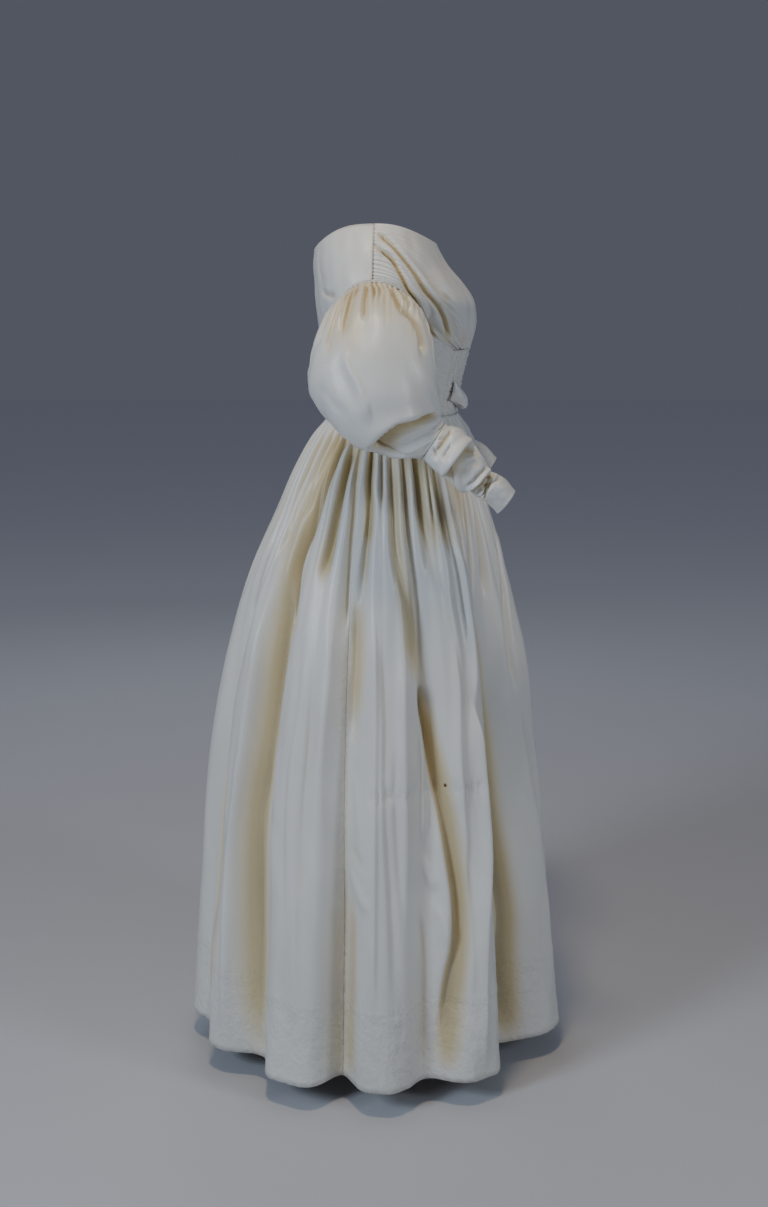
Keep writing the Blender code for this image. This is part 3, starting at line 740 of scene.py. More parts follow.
def sideGrid(side):
    creases = sideCreases if side > 0 else mirrored(sideCreases, 3.0, 0.4)

    def grid(u, v):
        startDeg = bodice["arcDeg"] + halfGapDeg
        lastTurn = bodice["lastTurn"]
        cornerDeg, cornerZ = armholePlace(np.array(lastTurn), edgeMargin)
        underDrape = unit(u / sideDrapePart)
        underArmhole = unit((u - sideDrapePart) / (1.0 - sideDrapePart))
        holeDeg, holeZ = armholePlace(lastTurn - (90 + lastTurn) * underArmhole, edgeMargin)
        topDeg = np.where(underArmhole > 0, holeDeg, startDeg + (cornerDeg - startDeg) * underDrape)
        drapeZ = bodice["arcZ"] + (cornerZ - bodice["arcZ"]) * underDrape - body["seamGap"]
        topZ = np.where(underArmhole > 0, holeZ, drapeZ)
        waistDeg = startDeg + (body["armholeDeg"] - startDeg) * u
        degrees = topDeg + (waistDeg - topDeg) * v - halfGapDeg * u
        z = topZ + (bodiceEndZ - topZ) * v
        inner = within(u, 0.06, 0.95) * within(v, 0.06, 0.95)
        x = np.radians(degrees) * 0.15
        soft = looseWaves(x, z, 41 + side, 12, 0.03, 0.09)
        crinkle = looseWaves(0.6 * x, 1.5 * z, 43 + side, 20, 0.007, 0.022) * (1.0 - 0.7 * u)
        relief = creaseDepth(bodiceFlat, side * degrees, z, creases) + 0.0012 + 0.0005 * soft
        depth = inner * np.clip(relief + 0.5 * bodice["midriffCrinkle"] * crinkle, 0.0, 0.006)
        away = np.minimum(np.minimum(u, 1 - u) * 0.12, v * 0.12)
        # painted shade in the creases and crinkles
        return bodiceGrid(side * degrees, z, depth, unit(depth / 0.004) * 0.4, away)
    return grid


# Skirt

skirt = {
    "seamDegs": (-180.0, -102.0, -46.0, 46.0, 102.0, 180.0),
    "columnDeg": 0.5,
    "rows": 146,
    "finePleats": 50,
    "hemBandZ": -1.225,
    "piecedSeamZ": -0.880,
    "piecedSeamDegs": (51.5, 92.5),
    "clothOfDegree": 0.0067,
}
PleatDepth = namedtuple("PleatDepth", "z depth")
# millimetres below the origin, and how deep the fine pleats are there
pleatRows = ((290, 6), (303, 7), (345, 10), (420, 7.8), (520, 2.6), (660, 0.9), (900, 0.2), (1380, 0.1))
pleatDepths = [PleatDepth(-0.001 * drop, 0.001 * depth) for drop, depth in pleatRows]
Trough = namedtuple("Trough", "topDeg hemDeg middleDepth hemDepth frontDeg backDeg")
# degrees, but for the two depths, which are in millimetres
troughRows = [
    (-168, -166, 22, 36, 9, 9),
    (-136, -138, 38, 46, 10, 8),
    (-107, -106, 20, 44, 7, 8),
    (-80, -83, 26, 38, 9, 7),
    (-53, -50, 22, 44, 8, 8),
    (-24, -22, 28, 40, 10, 8),
    (4, 1, 12, 20, 8, 7),
    (37, 38, 36, 74, 13, 9),
    (70, 74, 24, 42, 8, 7),
    (85, 82, 10, 4, 4, 4),
    (100, 102, 18, 60, 6, 5),
    (133, 134, 42, 54, 8, 11),
    (160, 164, 24, 38, 8, 9),
]
troughs = [
    Trough(topDeg, hemDeg, 0.001 * middleDepth, 0.001 * hemDepth, frontDeg, backDeg)
    for topDeg, hemDeg, middleDepth, hemDepth, frontDeg, backDeg in troughRows
]
nearPleats = creaseTable([
    (24, 11, 6, 0.1, 119, 305, 120, 330, 124.5, 360, 127.2, 412, 129.5, 472, 133, 534, 131, 584, 130, 660),
    (16, 30, 9, 0.14, 138, 520, 137, 660, 137.5, 780, 138, 880, 140, 950, 139.5, 1050, 137, 1340),
    (-6, 4, 15, 0.2, 129, 600, 127.5, 700, 127.5, 790, 129.5, 900, 131.5, 940, 128.5, 980, 128, 1100),
    (15, 5.6, 7, 0.14, 109, 305, 109.2, 346, 112.2, 380, 114.5, 442, 114.5, 498, 116, 560),
    (11, 6, 2.4, 0.1, 102, 310, 102.5, 358, 103, 400, 103.8, 482, 103.8, 542, 103.5, 640),
    (13, 4.8, 6, 0.16, 94, 305, 94, 360, 95.2, 400, 93.8, 440, 95.8, 508, 97.5, 600),
    (6, 2.6, 5, 0.2, 87, 310, 87.5, 370, 88, 440),
    (12, 8, 11, 0.14, 81.2, 305, 81.2, 370, 81, 440, 80.8, 508, 77, 608, 76, 700),
    (11, 2.4, 6.5, 0.1, 76, 305, 74.5, 366, 74.8, 458, 74, 534, 72.5, 610, 73, 700, 73.2, 790),
    (-5, 6, 2.6, 0.24, 77.6, 460, 76.6, 560, 75.6, 660, 75.2, 780, 76.2, 920),
    (13, 8, 9, 0.18, 67, 305, 66.2, 400, 66, 452, 64.8, 494, 63.5, 580),
    (8, 3, 6, 0.2, 60, 305, 59, 370, 57, 440, 56.5, 520),
    (8.5, 2.4, 6, 0.16, 54, 350, 53.8, 438, 53.5, 506, 52.8, 566, 52.8, 660),
    (-6, 4.5, 15, 0.2, 51.5, 480, 50.5, 560, 51, 660, 53.6, 760),
    (9, 4, 7, 0.2, 47, 305, 46, 380, 46.5, 460, 48, 560),
    (19, 2.6, 7, 0.08, 36.5, 340, 37.2, 430, 38.8, 502, 42, 602, 43.5, 684, 45, 780, 44, 860),
    (15, 9, 15, 0.12, 45, 700, 43, 800, 38, 910, 34.5, 1030, 32, 1140, 33.5, 1240, 34, 1360),
    (10, 8, 2.4, 0.16, 9.2, 400, 9.2, 464, 13.5, 516, 18.5, 596, 22, 676, 22.6, 780),
    (11, 10, 3.6, 0.2, 21, 760, 17.8, 860, 14.5, 970, 10, 1100, 5, 1220),
    (11, 3, 6, 0.18, 26, 305, 27, 400, 29, 500, 31, 600),
    (10, 3, 5, 0.22, 14, 305, 13, 380, 10, 460),
    (11, 3.6, 6, 0.2, 2, 305, 1, 400, -1, 520),
    (22, 10, 18, 0.1, 73, 710, 71.5, 760, 69.5, 820, 66.5, 900, 64.5, 980, 62.8, 1060, 63.5, 1130, 66, 1200,
     68.5, 1340),
    (-8, 3.4, 8, 0.22, 75.5, 740, 73.5, 820, 73.5, 900, 74, 980),
    (-7, 6, 10, 0.36, 74, 980, 71.5, 1020, 69, 1045),
    (-7, 8, 6, 0.36, 70.5, 1060, 67.6, 1095, 67.4, 1140),
    (5, 8, 5, 0.26, 76, 1060, 74, 1140, 74.5, 1260, 76, 1360),
    (-13, 16, 3.4, 0.14, 53.6, 740, 52, 840, 51.8, 980, 54.6, 1100, 56.4, 1220, 57, 1360),
    (10, 5, 9, 0.22, 49.5, 860, 47, 930, 47, 990, 49, 1080, 52, 1200),
    (-6, 8, 6, 0.28, 44, 900, 41.5, 1000, 41.5, 1100, 44, 1200),
    (-5, 9, 5, 0.28, 60.5, 620, 60, 720, 61.5, 830, 60.5, 930),
    (4.5, 5, 9, 0.26, 57, 660, 57.5, 760, 59, 870, 58.5, 980, 59.5, 1100),
    (-6, 11, 6, 0.3, 62, 960, 60, 1040, 60, 1140, 61.5, 1260),
    (9, 4, 10, 0.16, 164.5, 600, 160, 720, 155, 880, 154, 1020, 154, 1200),
    (-8, 10, 6, 0.18, 147, 620, 144.5, 720, 145, 860, 147, 1020, 146, 1200, 145, 1360),
    (4.5, 9, 5, 0.22, 119.5, 620, 119, 740, 120.5, 860, 120, 1000, 119, 1140),
    (6, 6, 13, 0.26, 113.5, 660, 113, 800, 114, 940, 113.5, 1100, 112, 1280),
    (-4.5, 9, 5, 0.26, 107.5, 580, 107, 700, 108, 840, 107, 980),
    (8, 7, 9, 0.26, 99.5, 576, 98.5, 664, 99, 752, 97.5, 820),
    (-5, 7, 9, 0.36, 98.5, 840, 97, 900, 96.5, 970),
    (-7, 9, 8, 0.34, 100, 1000, 97.5, 1030, 94, 1052, 91.5, 1055),
    (5, 8, 7, 0.36, 99, 965, 96.5, 985, 93, 995),
    (-5, 11, 3.4, 0.14, 91.5, 560, 90.5, 720, 90.8, 868, 91, 1050, 91.2, 1250),
    (5.5, 4, 12, 0.2, 88.5, 600, 87.5, 760, 87.5, 900, 86, 1060, 85, 1240),
    (-4, 7, 9, 0.26, 80, 634, 81, 752, 80.5, 906, 80.2, 1050),
    (3.5, 5, 6, 0.3, 83.5, 780, 84, 880, 83, 1000, 81, 1140),
    (-1.5, 1.8, 1.8, 0.2, 81.8, 566, 80, 582, 77.8, 598),
    (10, 3.6, 6, 0.22, 131, 310, 136, 380, 141, 470),
    (12, 3.6, 7, 0.18, 140, 310, 144, 420, 147, 540),
    (11, 3.6, 7, 0.2, 150, 310, 153, 440, 155, 600),
    (10, 3.6, 6, 0.2, 161, 310, 163, 420, 164, 540),
    (11, 3.6, 7, 0.2, 172, 310, 173, 450, 176, 620),
])

# Painted shade along the skirt's deep folds, as bands whose depth is the strength of the shade
foldShadeBands = creaseTable([
    (1, 26, 9, 0.06, 121, 330, 127.5, 412, 132, 500, 134, 580, 135, 700, 135.5, 840, 137, 950, 136.5, 1100,
     135, 1360),
    (0.55, 9, 9, 0.2, 109.5, 340, 113, 400, 115.5, 500, 116, 560),
    (0.55, 8, 9, 0.2, 94.5, 340, 95.2, 420, 95.8, 500),
    (0.6, 11, 13, 0.2, 81, 340, 81, 440, 80.8, 520, 78, 620, 77, 720),
    (0.55, 18, 18, 0.3, 67, 330, 65.5, 420, 63.5, 520),
    (0.4, 16, 12, 0.3, 57, 360, 55, 440, 54, 520),
    (0.35, 16, 18, 0.3, 40, 340, 40, 420, 41, 500),
    (0.5, 13, 16, 0.26, 98.5, 560, 98, 660, 98.5, 780),
    (0.75, 11, 16, 0.08, 72.5, 740, 68, 840, 65, 940, 63, 1040, 63.5, 1140, 66.5, 1240, 68.5, 1360),
    (0.85, 14, 16, 0.08, 42, 620, 38.5, 740, 36, 860, 34.5, 1000, 32, 1120, 32.5, 1240, 33, 1360),
    (0.45, 12, 10, 0.2, 98, 1040, 98, 1160, 98.5, 1280, 98.5, 1360),
    (0.35, 6, 10, 0.3, 76, 540, 75.5, 640, 76, 720),
    (0.4, 12, 16, 0.14, 158, 620, 154, 880, 153, 1100, 152, 1300),
], deep=1.0)


def skirtRadius(z):
    return 0.5 * (tableColumn(skirtSections, z, "halfWidth") + tableColumn(skirtSections, z, "back"))


def skirtFlat(degrees, z):
    return np.stack([np.radians(degrees) * skirtRadius(z), z], axis=-1)


def skirtBroad(degrees, z):
    fall = ease(z, body["waistZ"], body["hemZ"])
    middle = ease(-z, -body["waistZ"], 0.78)
    depth = 0 * degrees
    for trough in troughs:
        centre = trough.topDeg + (trough.hemDeg - trough.topDeg) * fall
        away = (degrees - centre + 180.0) % 360.0 - 180.0
        towardBack = away * (1 if trough.topDeg >= 0 else -1) > 0
        width = np.where(towardBack, trough.backDeg, trough.frontDeg)
        deepest = trough.middleDepth * middle + (trough.hemDepth - trough.middleDepth) * fall
        depth = depth + deepest * bell(away / width)
    return depth


def skirtPleats(degrees, z):
    turn = np.radians(degrees)
    wander = 1.3 * np.sin(5 * turn + 0.4) + 0.9 * np.sin(11 * turn + 1.9) + 0.7 * np.sin(17 * turn)
    share = waves(skirt["finePleats"] * turn + wander, 3.2)
    uneven = 0.78 + 0.20 * np.sin(7 * turn + 0.8) + 0.14 * np.sin(19 * turn + 2.2)
    return tableColumn(pleatDepths, z, "depth") * share * uneven


skirtCreases = nearPleats + mirrored(nearPleats, 5.0, 0.45)
skirtFoldShades = foldShadeBands + mirrored(foldShadeBands, 5.0, 0.45)


def roundSkirt(degrees, z, creases):
    # the same creases again a whole turn on, so that none stops at the middle of the back
    total = creaseDepth(skirtFlat, degrees, z, creases)
    return total + creaseDepth(skirtFlat, degrees - 360.0 * np.sign(degrees), z, creases)


def skirtDepth(degrees, z):
    crease = roundSkirt(degrees, z, skirtCreases)
    turn = np.radians(degrees)
    soft = looseWaves(2.4 * turn, z * 0.9, 51, 18, 0.20, 0.75) * 0.0014
    soft += looseWaves(turn * 0.3, z * 0.30, 52, 16, 0.025, 0.07) * 0.00045
    soft += looseWaves(turn * 0.3, z * 0.07, 54, 22, 0.028, 0.095) * 0.0019
    band = ease(-z, 1.205, 1.235)
    soft += band * looseWaves(turn * 0.33, z, 53, 20, 0.014, 0.05) * 0.0006
    soft *= ease(-z, -body["waistZ"], 0.34) * (1 - ease(np.abs(degrees), 166.0, 179.0))
    return skirtBroad(degrees, z) + skirtPleats(degrees, z) + crease + soft, crease


def skirtSewn(degrees, z):
    # the whole relief of the skirt with its seams, and the marks for its seam lines and for the painted shade
    # in its folds
    depth, crease = skirtDepth(degrees, z)
    radius = skirtRadius(z)
    around = (degrees + 180.0) % 360.0 - 180.0
    edge = np.min([np.abs(around - seamDeg) for seamDeg in skirt["seamDegs"]], axis=0)
    edge = edge * np.radians(1.0) * radius
    stitched = ease(-z, 0.40, 0.75)
    ripple = np.sin(2 * math.pi * z / 0.0145 + 2.1 * np.sin(41.0 * z) + 0.8 * np.sin(13.0 * z))
    depth = depth + stitched * bell(edge / 0.009) * (0.0007 * ripple + 0.0004)
    depth = depth + 0.0003 * bell(edge / 0.003)
    bandAway = np.abs(z - skirt["hemBandZ"] - 0.006 * np.sin(np.radians(degrees) * 3.0))
    depth = depth - 0.0012 * (1 - ease(bandAway, 0.0, 0.005))
    low, high = skirt["piecedSeamDegs"]
    onSeam = ease(degrees, low - 1.0, low + 1.0) * (1 - ease(degrees, high - 1.0, high + 1.0))
    piecedAway = np.abs(z - skirt["piecedSeamZ"])
    pull = np.sin(np.radians(degrees) * radius * 2 * math.pi / 0.017 + 1.9 * np.sin(degrees * 0.55))
    depth = depth + onSeam * bell(piecedAway / 0.01) * (0.0022 * pull + 0.0016)
    away = np.minimum(np.where(stitched > 0.05, edge, 1.0), bandAway + 0.0004)
    away = np.minimum(away, piecedAway + 1.0 - onSeam)
    # painted shade, darker and warmer in the broad troughs, creases, fine pleats and shade bands
    trough = unit(skirtBroad(degrees, z) / 0.055) ** 2 * 0.30
    trough = trough + np.clip(np.maximum(crease, 0) / 0.014, 0, 1.5) * 0.40
    trough = trough + unit(skirtPleats(degrees, z) / 0.007) * 0.55
    trough = trough + roundSkirt(degrees, z, skirtFoldShades)
    return oval(skirtSections, degrees, z, depth), {"trough": np.clip(trough, 0, 1.5), "seamAway": away}


def skirtGrid(startDeg, endDeg):
    def grid(u, v):
        # the rows lie closer together near the waist
        fall = 0.45 * v + 0.55 * v**1.5
        z = body["waistZ"] - 0.2 * body["seamGap"] + (body["hemZ"] - body["waistZ"]) * fall
        backReach = tableColumn(skirtSections, z, "back") - body["middleY"]
        narrowest = np.minimum(tableColumn(skirtSections, z, "halfWidth"), backReach)
        gapDeg = np.degrees(0.1 * body["seamGap"] / narrowest)
        first, last = startDeg + gapDeg, endDeg - gapDeg
        degrees = first + (last - first) * (u - 0.35 * np.sin(2 * math.pi * u) / (2 * math.pi))
        points, marks = skirtSewn(degrees, z)
        normals = (points - np.array([0.0, body["middleY"], 0.0])) * np.array([1.0, 1.0, 0.0])
        return {"points": points, "normals": normals, "spread": skirtFlat(degrees, z), **marks}
    return grid


# Sleeves

Ring = namedtuple("Ring", "front outer back inner")


def ringTable(rows):
    # x, y and z of the front, outer, back and inner point, in millimetres
    return [Ring(*(0.001 * np.array(row).reshape(4, 3))) for row in rows]


puffRings = ringTable([
    (212, -68, -158, 244, 15, -99, 208, 94, -155, 158, 12, -226),
    (235, -77, -190, 290, 18, -140, 232, 110, -192, 150, 14, -244),
    (240, -82, -225, 322, 18, -195, 238, 116.5, -228, 146, 16, -262),
    (242, -85, -255, 334, 16, -250, 240, 112, -260, 148, 14, -282),
    (245, -88, -276, 328, 8, -300, 243, 84, -298, 158, 4, -302),
    (248, -90, -288, 308, -10, -332, 248, 38, -335, 185, -16, -318),
    (250, -91, -295, 290, -42, -338, 252, -12, -349, 208, -48, -326),
    (250, -90, -300, 279, -73, -326, 252, -56, -352, 222, -73, -326),
])
lowerRings = ringTable([
    (251, -95, -300, 283, -80, -330, 255, -62, -357, 222, -80, -330),
    (252, -108, -302, 292, -94, -340, 256, -82, -374, 220, -94, -340),
    (250, -124, -311, 289, -108, -353, 252, -100, -390, 216, -108, -353),
    (246, -137, -327, 276, -122, -366, 246, -117, -404, 214, -122, -366),
    (240, -153, -350, 267, -140, -379, 240, -130, -405, 212, -140, -379),
    (235, -165, -370, 261, -155, -393, 235, -146, -415, 208, -155, -393),
    (229, -187, -386, 254, -174, -405, 229, -160, -424, 204, -174, -405),
    (222, -203, -405, 246, -190, -422, 222, -176, -440, 198, -190, -422),
])
sleeve = {
    "puffGathers": 54,
    "puffGatherDepth": 0.0062,
    "tuckDepth": 0.011,
    "tuckAt": 0.80,
    "puffRadius": 0.105,
    "puffLength": 0.300,
    "lowerFolds": 3.6,
    "lowerFoldSlant": 0.55,
    "lowerFoldDepth": 0.0055,
    "lowerRadius": 0.036,
    "lowerLength": 0.190,
    "cuffAt": 0.80,
    "cuffSeamDeg": 104.0,
}
puffCreases = creaseTable([
    (6.5, 6, 8.5, 0.2, 110, 0, 113, 120, 116, 220, 118, 310),
    (4, 4, 5, 0.25, 121, 20, 123, 120, 126, 220),
    (7.5, 3.4, 6, 0.18, 100, 10, 99.5, 100, 99, 180, 96, 250),
    (4.5, 5, 4, 0.25, 92, 20, 90, 90, 89, 160),
    (4, 4, 4, 0.25, 83, 20, 82, 100, 82, 150),
    (5, 6, 4, 0.25, 128, 100, 130, 210, 133, 280, 134, 350),
    (5, 6, 6, 0.25, 140, 50, 145, 180, 150, 300),
    (13, 5, 8.5, 0.1, 72, 20, 69, 100, 62, 185, 53, 205, 45, 230, 40, 280, 36, 335),
    (-3.5, 11, 4, 0.25, 66, 170, 57, 200, 50, 240, 46, 290, 44, 360),
    (5.5, 4, 4, 0.22, 60, 30, 54, 100, 46, 150),
    (5, 3.5, 4, 0.22, 50, 20, 42, 90, 34, 140),
    (-5, 15, 3.4, 0.18, 115, 335, 109, 400, 102, 450, 97, 515, 95, 600),
    (3.2, 14, 12, 0.35, 122, 340, 116, 420, 108, 500, 104, 570),
    (2.4, 8, 6, 0.35, 137, 520, 126, 545, 113, 570),
    (1.6, 8, 8, 0.35, 150, 460, 135, 500, 122, 530),
    (21, 4, 20, 0.14, 8, 655, 30, 640, 50, 635, 72, 640, 92, 690, 112, 740, 126, 780),
    (-5, 12, 5, 0.25, 36, 620, 60, 612, 84, 640, 106, 690, 120, 735),
    (5.5, 7, 7, 0.25, 165, 80, 170, 220, 176, 360),
    (5, 6, 6, 0.25, 182, 40, 188, 160, 196, 280),
    (3, 10, 8, 0.35, 200, 420, 186, 500, 168, 550),
    (6, 7, 6, 0.25, 20, 100, 14, 240, 10, 380),
    (4, 8, 8, 0.3, 350, 50, 346, 200, 345, 400),
], down=0.001)
lowerCreases = creaseTable([
    (8.5, 2.2, 13, 0.08, 2, 535, 28, 500, 48, 455, 70, 412, 103, 362, 136, 325, 165, 300, 188, 290),
    (-3.6, 10, 4.8, 0.18, 8, 470, 28, 445, 60, 385, 96, 330, 130, 295, 170, 262),
    (7.2, 2, 7, 0.08, 335, 805, 10, 775, 50, 742, 92, 706, 132, 655, 172, 590, 190, 570),
    (-3, 6, 3.4, 0.2, 5, 745, 45, 712, 92, 672, 132, 622, 165, 565),
    (4, 2, 5, 0.2, 20, 700, 60, 662, 104, 612, 140, 560),
    (4, 2.4, 3, 0.2, 10, 835, 40, 812, 76, 782, 120, 735, 165, 680),
    (-3, 2.8, 2.8, 0.25, 88, 795, 118, 760, 150, 715),
    (4.2, 2.6, 7, 0.22, 20, 200, 45, 165, 80, 130, 115, 115),
    (3, 3, 6, 0.3, 60, 270, 86, 235, 112, 215),
    (2.2, 5, 8, 0.3, 35, 600, 62, 560, 96, 505, 128, 460),
    (3, 2.6, 2.6, 0.3, 100, 50, 108, 120, 124, 200),
    (2.6, 2.6, 2.6, 0.3, 70, 40, 66, 100, 52, 160),
    (5, 3, 8, 0.3, 200, 350, 240, 300, 290, 330),
    (4.5, 3, 7, 0.3, 190, 550, 235, 520, 285, 560),
    (4, 3, 5, 0.3, 200, 680, 240, 670, 300, 710),
], down=0.001)


def ringPoints(ring, turn):
    front, outer, back, inner = ring
    middle = (front + outer + back + inner) / 4
    saddle = (front + back - outer - inner) / 4
    side, ahead = np.sin(np.radians(turn)), np.cos(np.radians(turn))
    double = np.cos(np.radians(2 * turn))
    forward, outward = (front - back) / 2, (outer - inner) / 2
    return middle + ahead[:, None] * forward + side[:, None] * outward + double[:, None] * saddle


def armholeRing(turn):
    degrees, z = armholePlace(turn)
    points = bodicePoints(degrees, z) + bodiceNormals(degrees, z) * (edgeMargin + 0.6 * body["solidWall"])
    return points * np.array([-1.0, 1.0, 1.0])


def alongRings(rings, t):
    rings = np.stack(rings)
    knots = np.linspace(0.0, 1.0, len(rings))
    slopes = np.gradient(rings, knots, axis=0)
    place = unit(t) * (len(rings) - 1)
    i = np.clip(np.floor(place).astype(int), 0, len(rings) - 2)
    each = np.arange(len(t))
    share = (place - i)[:, None]
    near, far = rings[i, each], rings[i + 1, each]
    return hermite(share, knots[1] - knots[0], near, far, slopes[i, each], slopes[i + 1, each])


def puffPoints(turn, t):
    return alongRings([armholeRing(turn)] + [ringPoints(ring, turn) for ring in puffRings], t)


def lowerPoints(turn, t):
    shift = np.array([0.0, -1.7, -1.0]) * body["seamGap"]
    start = Ring(*(point + shift for point in puffRings[-1]))
    return alongRings([ringPoints(ring, turn) for ring in [start, *lowerRings]], t)


def puffFlat(turn, t):
    return np.stack([np.radians(turn) * sleeve["puffRadius"], -t * sleeve["puffLength"]], axis=-1)


def lowerFlat(turn, t):
    return np.stack([np.radians(turn) * sleeve["lowerRadius"], -t * sleeve["lowerLength"]], axis=-1)


def roundWaves(flat, turn, t, seed, shortest, longest):
    # soft waves that meet at the sleeve's seam
    radius, length = flat(np.degrees(1.0), 0.0)[0], -flat(0.0, 1.0)[1]
    turn = np.radians(turn)
    return looseWaves(np.cos(turn) * radius, np.sin(turn) * radius + t * length, seed, 16, shortest, longest)


def roundCreases(flat, turn, t, creases):
    # the same creases again a whole turn before and after, so that none stops at the seam
    total = creaseDepth(flat, turn, t, creases)
    total += creaseDepth(flat, turn - 360.0, t, creases)
    return total + creaseDepth(flat, turn + 360.0, t, creases)


def puffDepth(turn, t, creases, seed):
    round_ = np.radians(turn)
    wander = 1.1 * np.sin(3 * round_ + 0.5) + 0.8 * np.sin(8 * round_ + 2.0) + 0.5 * np.sin(21 * round_)
    share = waves(sleeve["puffGathers"] * round_ + wander, 2.4)
    reach = 0.15 + 0.06 * np.sin(9 * round_ + 1.0) + 0.06 * np.sin(16 * round_)
    gathers = share * sleeve["puffGatherDepth"] * (1 - ease(t, 0.25 * reach, 1.5 * reach))
    uneven = 0.66 + 0.34 * np.sin(13 * round_ + 0.4)
    gathers = gathers * (0.45 + 0.55 * ease(t, 0.0, 0.05)) * uneven
    outer = unit(np.sin(round_)) ** 0.7
    tuck = sleeve["tuckDepth"] * outer * bell((t - sleeve["tuckAt"]) / 0.05)
    crease = roundCreases(puffFlat, turn, t, creases)
    soft = roundWaves(puffFlat, turn, t, seed, 0.035, 0.13) * 0.0011
    ends = within(t, 0.04, 0.95)
    return gathers + tuck + ends * (crease + soft + 0.0011), gathers, crease, tuck


def lowerDepth(turn, t, creases, seed):
    phase = sleeve["lowerFolds"] * t + sleeve["lowerFoldSlant"] * np.cos(np.radians(turn - 40.0))
    wave = waves(2 * math.pi * phase + math.pi, 1.5)
    fold = sleeve["lowerFoldDepth"] * 0.2 * wave * ease(t, 0.04, 0.2) * (1.0 - ease(t, 0.72, 0.9))
    crease = roundCreases(lowerFlat, turn, t, creases)
    soft = roundWaves(lowerFlat, turn, t, seed, 0.012, 0.05) * 0.0007
    ends = within(t, 0.05, 0.97)
    return fold + ends * (1.9 * crease + soft * (1 - 0.5 * ease(t, 0.78, 0.84)) + 0.0006), fold, crease


def sleeveGrid(side, pointsOf, reliefOf, flat):
    mirror = np.array([-side, 1.0, 1.0])

    def grid(u, v):
        turn = 360.0 * u
        inside = np.clip(v, 0.002, 0.998)
        normals = normalsOf(pointsOf, turn, inside, 1.0, 0.002, -1.0)
        depth, marks = reliefOf(turn, v)
        points = pointsOf(turn, v) - normals * depth[:, None]
        return {"points": points * mirror, "normals": normals * mirror, "spread": flat(turn, v), **marks}
    return grid


def puffRelief(side):
    creases = puffCreases if side > 0 else mirroredSleeve(puffCreases, 4.0)

    def relief(turn, t):
        depth, gathers, crease, tuck = puffDepth(turn, t, creases, 61 + side)
        # painted shade in the gathers, creases and the tuck
        shade = gathers / 0.0050 * 0.80 + np.maximum(crease, 0) / 0.010 * 0.42 + tuck / 0.011 * 0.10
        shade = shade + 0.5 * ease(t, 0.60, 0.66) * np.maximum(crease, 0) / 0.020
        # painted warm light from above on the upper part of the puff's outer side
        patchy = t + 0.05 * np.sin(np.radians(5.0 * turn + 40.0)) + 0.03 * np.sin(np.radians(13.0 * turn))
        paintedWarmTop = (1 - ease(patchy, 0.20, 0.42)) * 0.44 * unit(np.sin(np.radians(turn)))
        away = np.minimum(t, 1 - t) * 0.28 + 0.0015
        return depth, {"trough": np.clip(shade + paintedWarmTop, 0, 1.3), "seamAway": away}
    return relief


def lowerRelief(side):
    creases = lowerCreases if side > 0 else mirroredSleeve(lowerCreases, 5.0)

    def relief(turn, t):
        depth, fold, crease = lowerDepth(turn, t, creases, 71 + side)
        shade = np.maximum(crease, 0) / 0.008 * 0.85 + 0.1 * fold / 0.001
        cuffAway = np.abs(t - sleeve["cuffAt"] - 0.02 * np.cos(np.radians(turn - 60))) * 0.19
        seam = np.minimum(np.abs(turn - sleeve["cuffSeamDeg"]) * math.radians(1.0) * 0.026, 1.0)
        seam = seam + (t < sleeve["cuffAt"])
        away = np.minimum(np.minimum(cuffAway, seam), (1 - t) * 0.19 + 0.003)
        depth = depth - 0.0006 * ease(t, sleeve["cuffAt"] - 0.01, sleeve["cuffAt"] + 0.01)
        return depth, {"trough": unit(shade), "seamAway": away}
    return relief


def mirroredSleeve(creases, shiftDeg):
    turned = []
    for number, crease in enumerate(creases):
        sway = shiftDeg * math.sin(2.9 * number + 0.3)
        path = tuple((angle + sway, place) for angle, place in crease.path)
        turned.append(Crease(path, crease.depth * (0.85 + 0.2 * math.sin(1.9 * number)), *crease[2:]))
    return turned


# Ribbon bow and piping

bow = {
    "z": -0.289,
    "reachDeg": 27.0,
    "rise": 0.028,
    "startDeg": 3.6,
    "clearance": 0.0010,
    "bulge": 0.015,
    "ribbonWidth": 0.033,
    "ribbonWall": 0.0006,
    "knotSize": (0.0134, 0.0170, 0.0170),
}


def bowGrid(side):
    def points(u, v):
        out = np.sin(math.pi * u)
        across = bow["ribbonWidth"] * (v - 0.5) * (0.40 + 0.60 * out)
        degrees = side * (bow["startDeg"] + bow["reachDeg"] * out)
        z = bow["z"] + bow["rise"] * out + across
        leaf = 0.08 + 0.92 * np.sin(math.pi * v)
        opened = 1.0 - ease(out, 0.2, 0.9) * (1.0 - leaf)
        height = bow["clearance"] + bow["bulge"] * opened * ease(u, 0.36, 0.74)
        height = height + 0.0009 * (1 - out) * np.cos(v * 5 * math.pi) * ease(u, 0.02, 0.1) * (u > 0.5)
        return bodicePoints(degrees, z) + bodiceNormals(degrees, z) * height[:, None]

    def grid(u, v):
        normals = normalsOf(points, u, v, 0.004, 0.01, side)
        spread = np.stack([u * 0.19, v * bow["ribbonWidth"]], axis=-1)
        return {"points": points(u, v), "normals": normals, "spread": spread}
    return grid


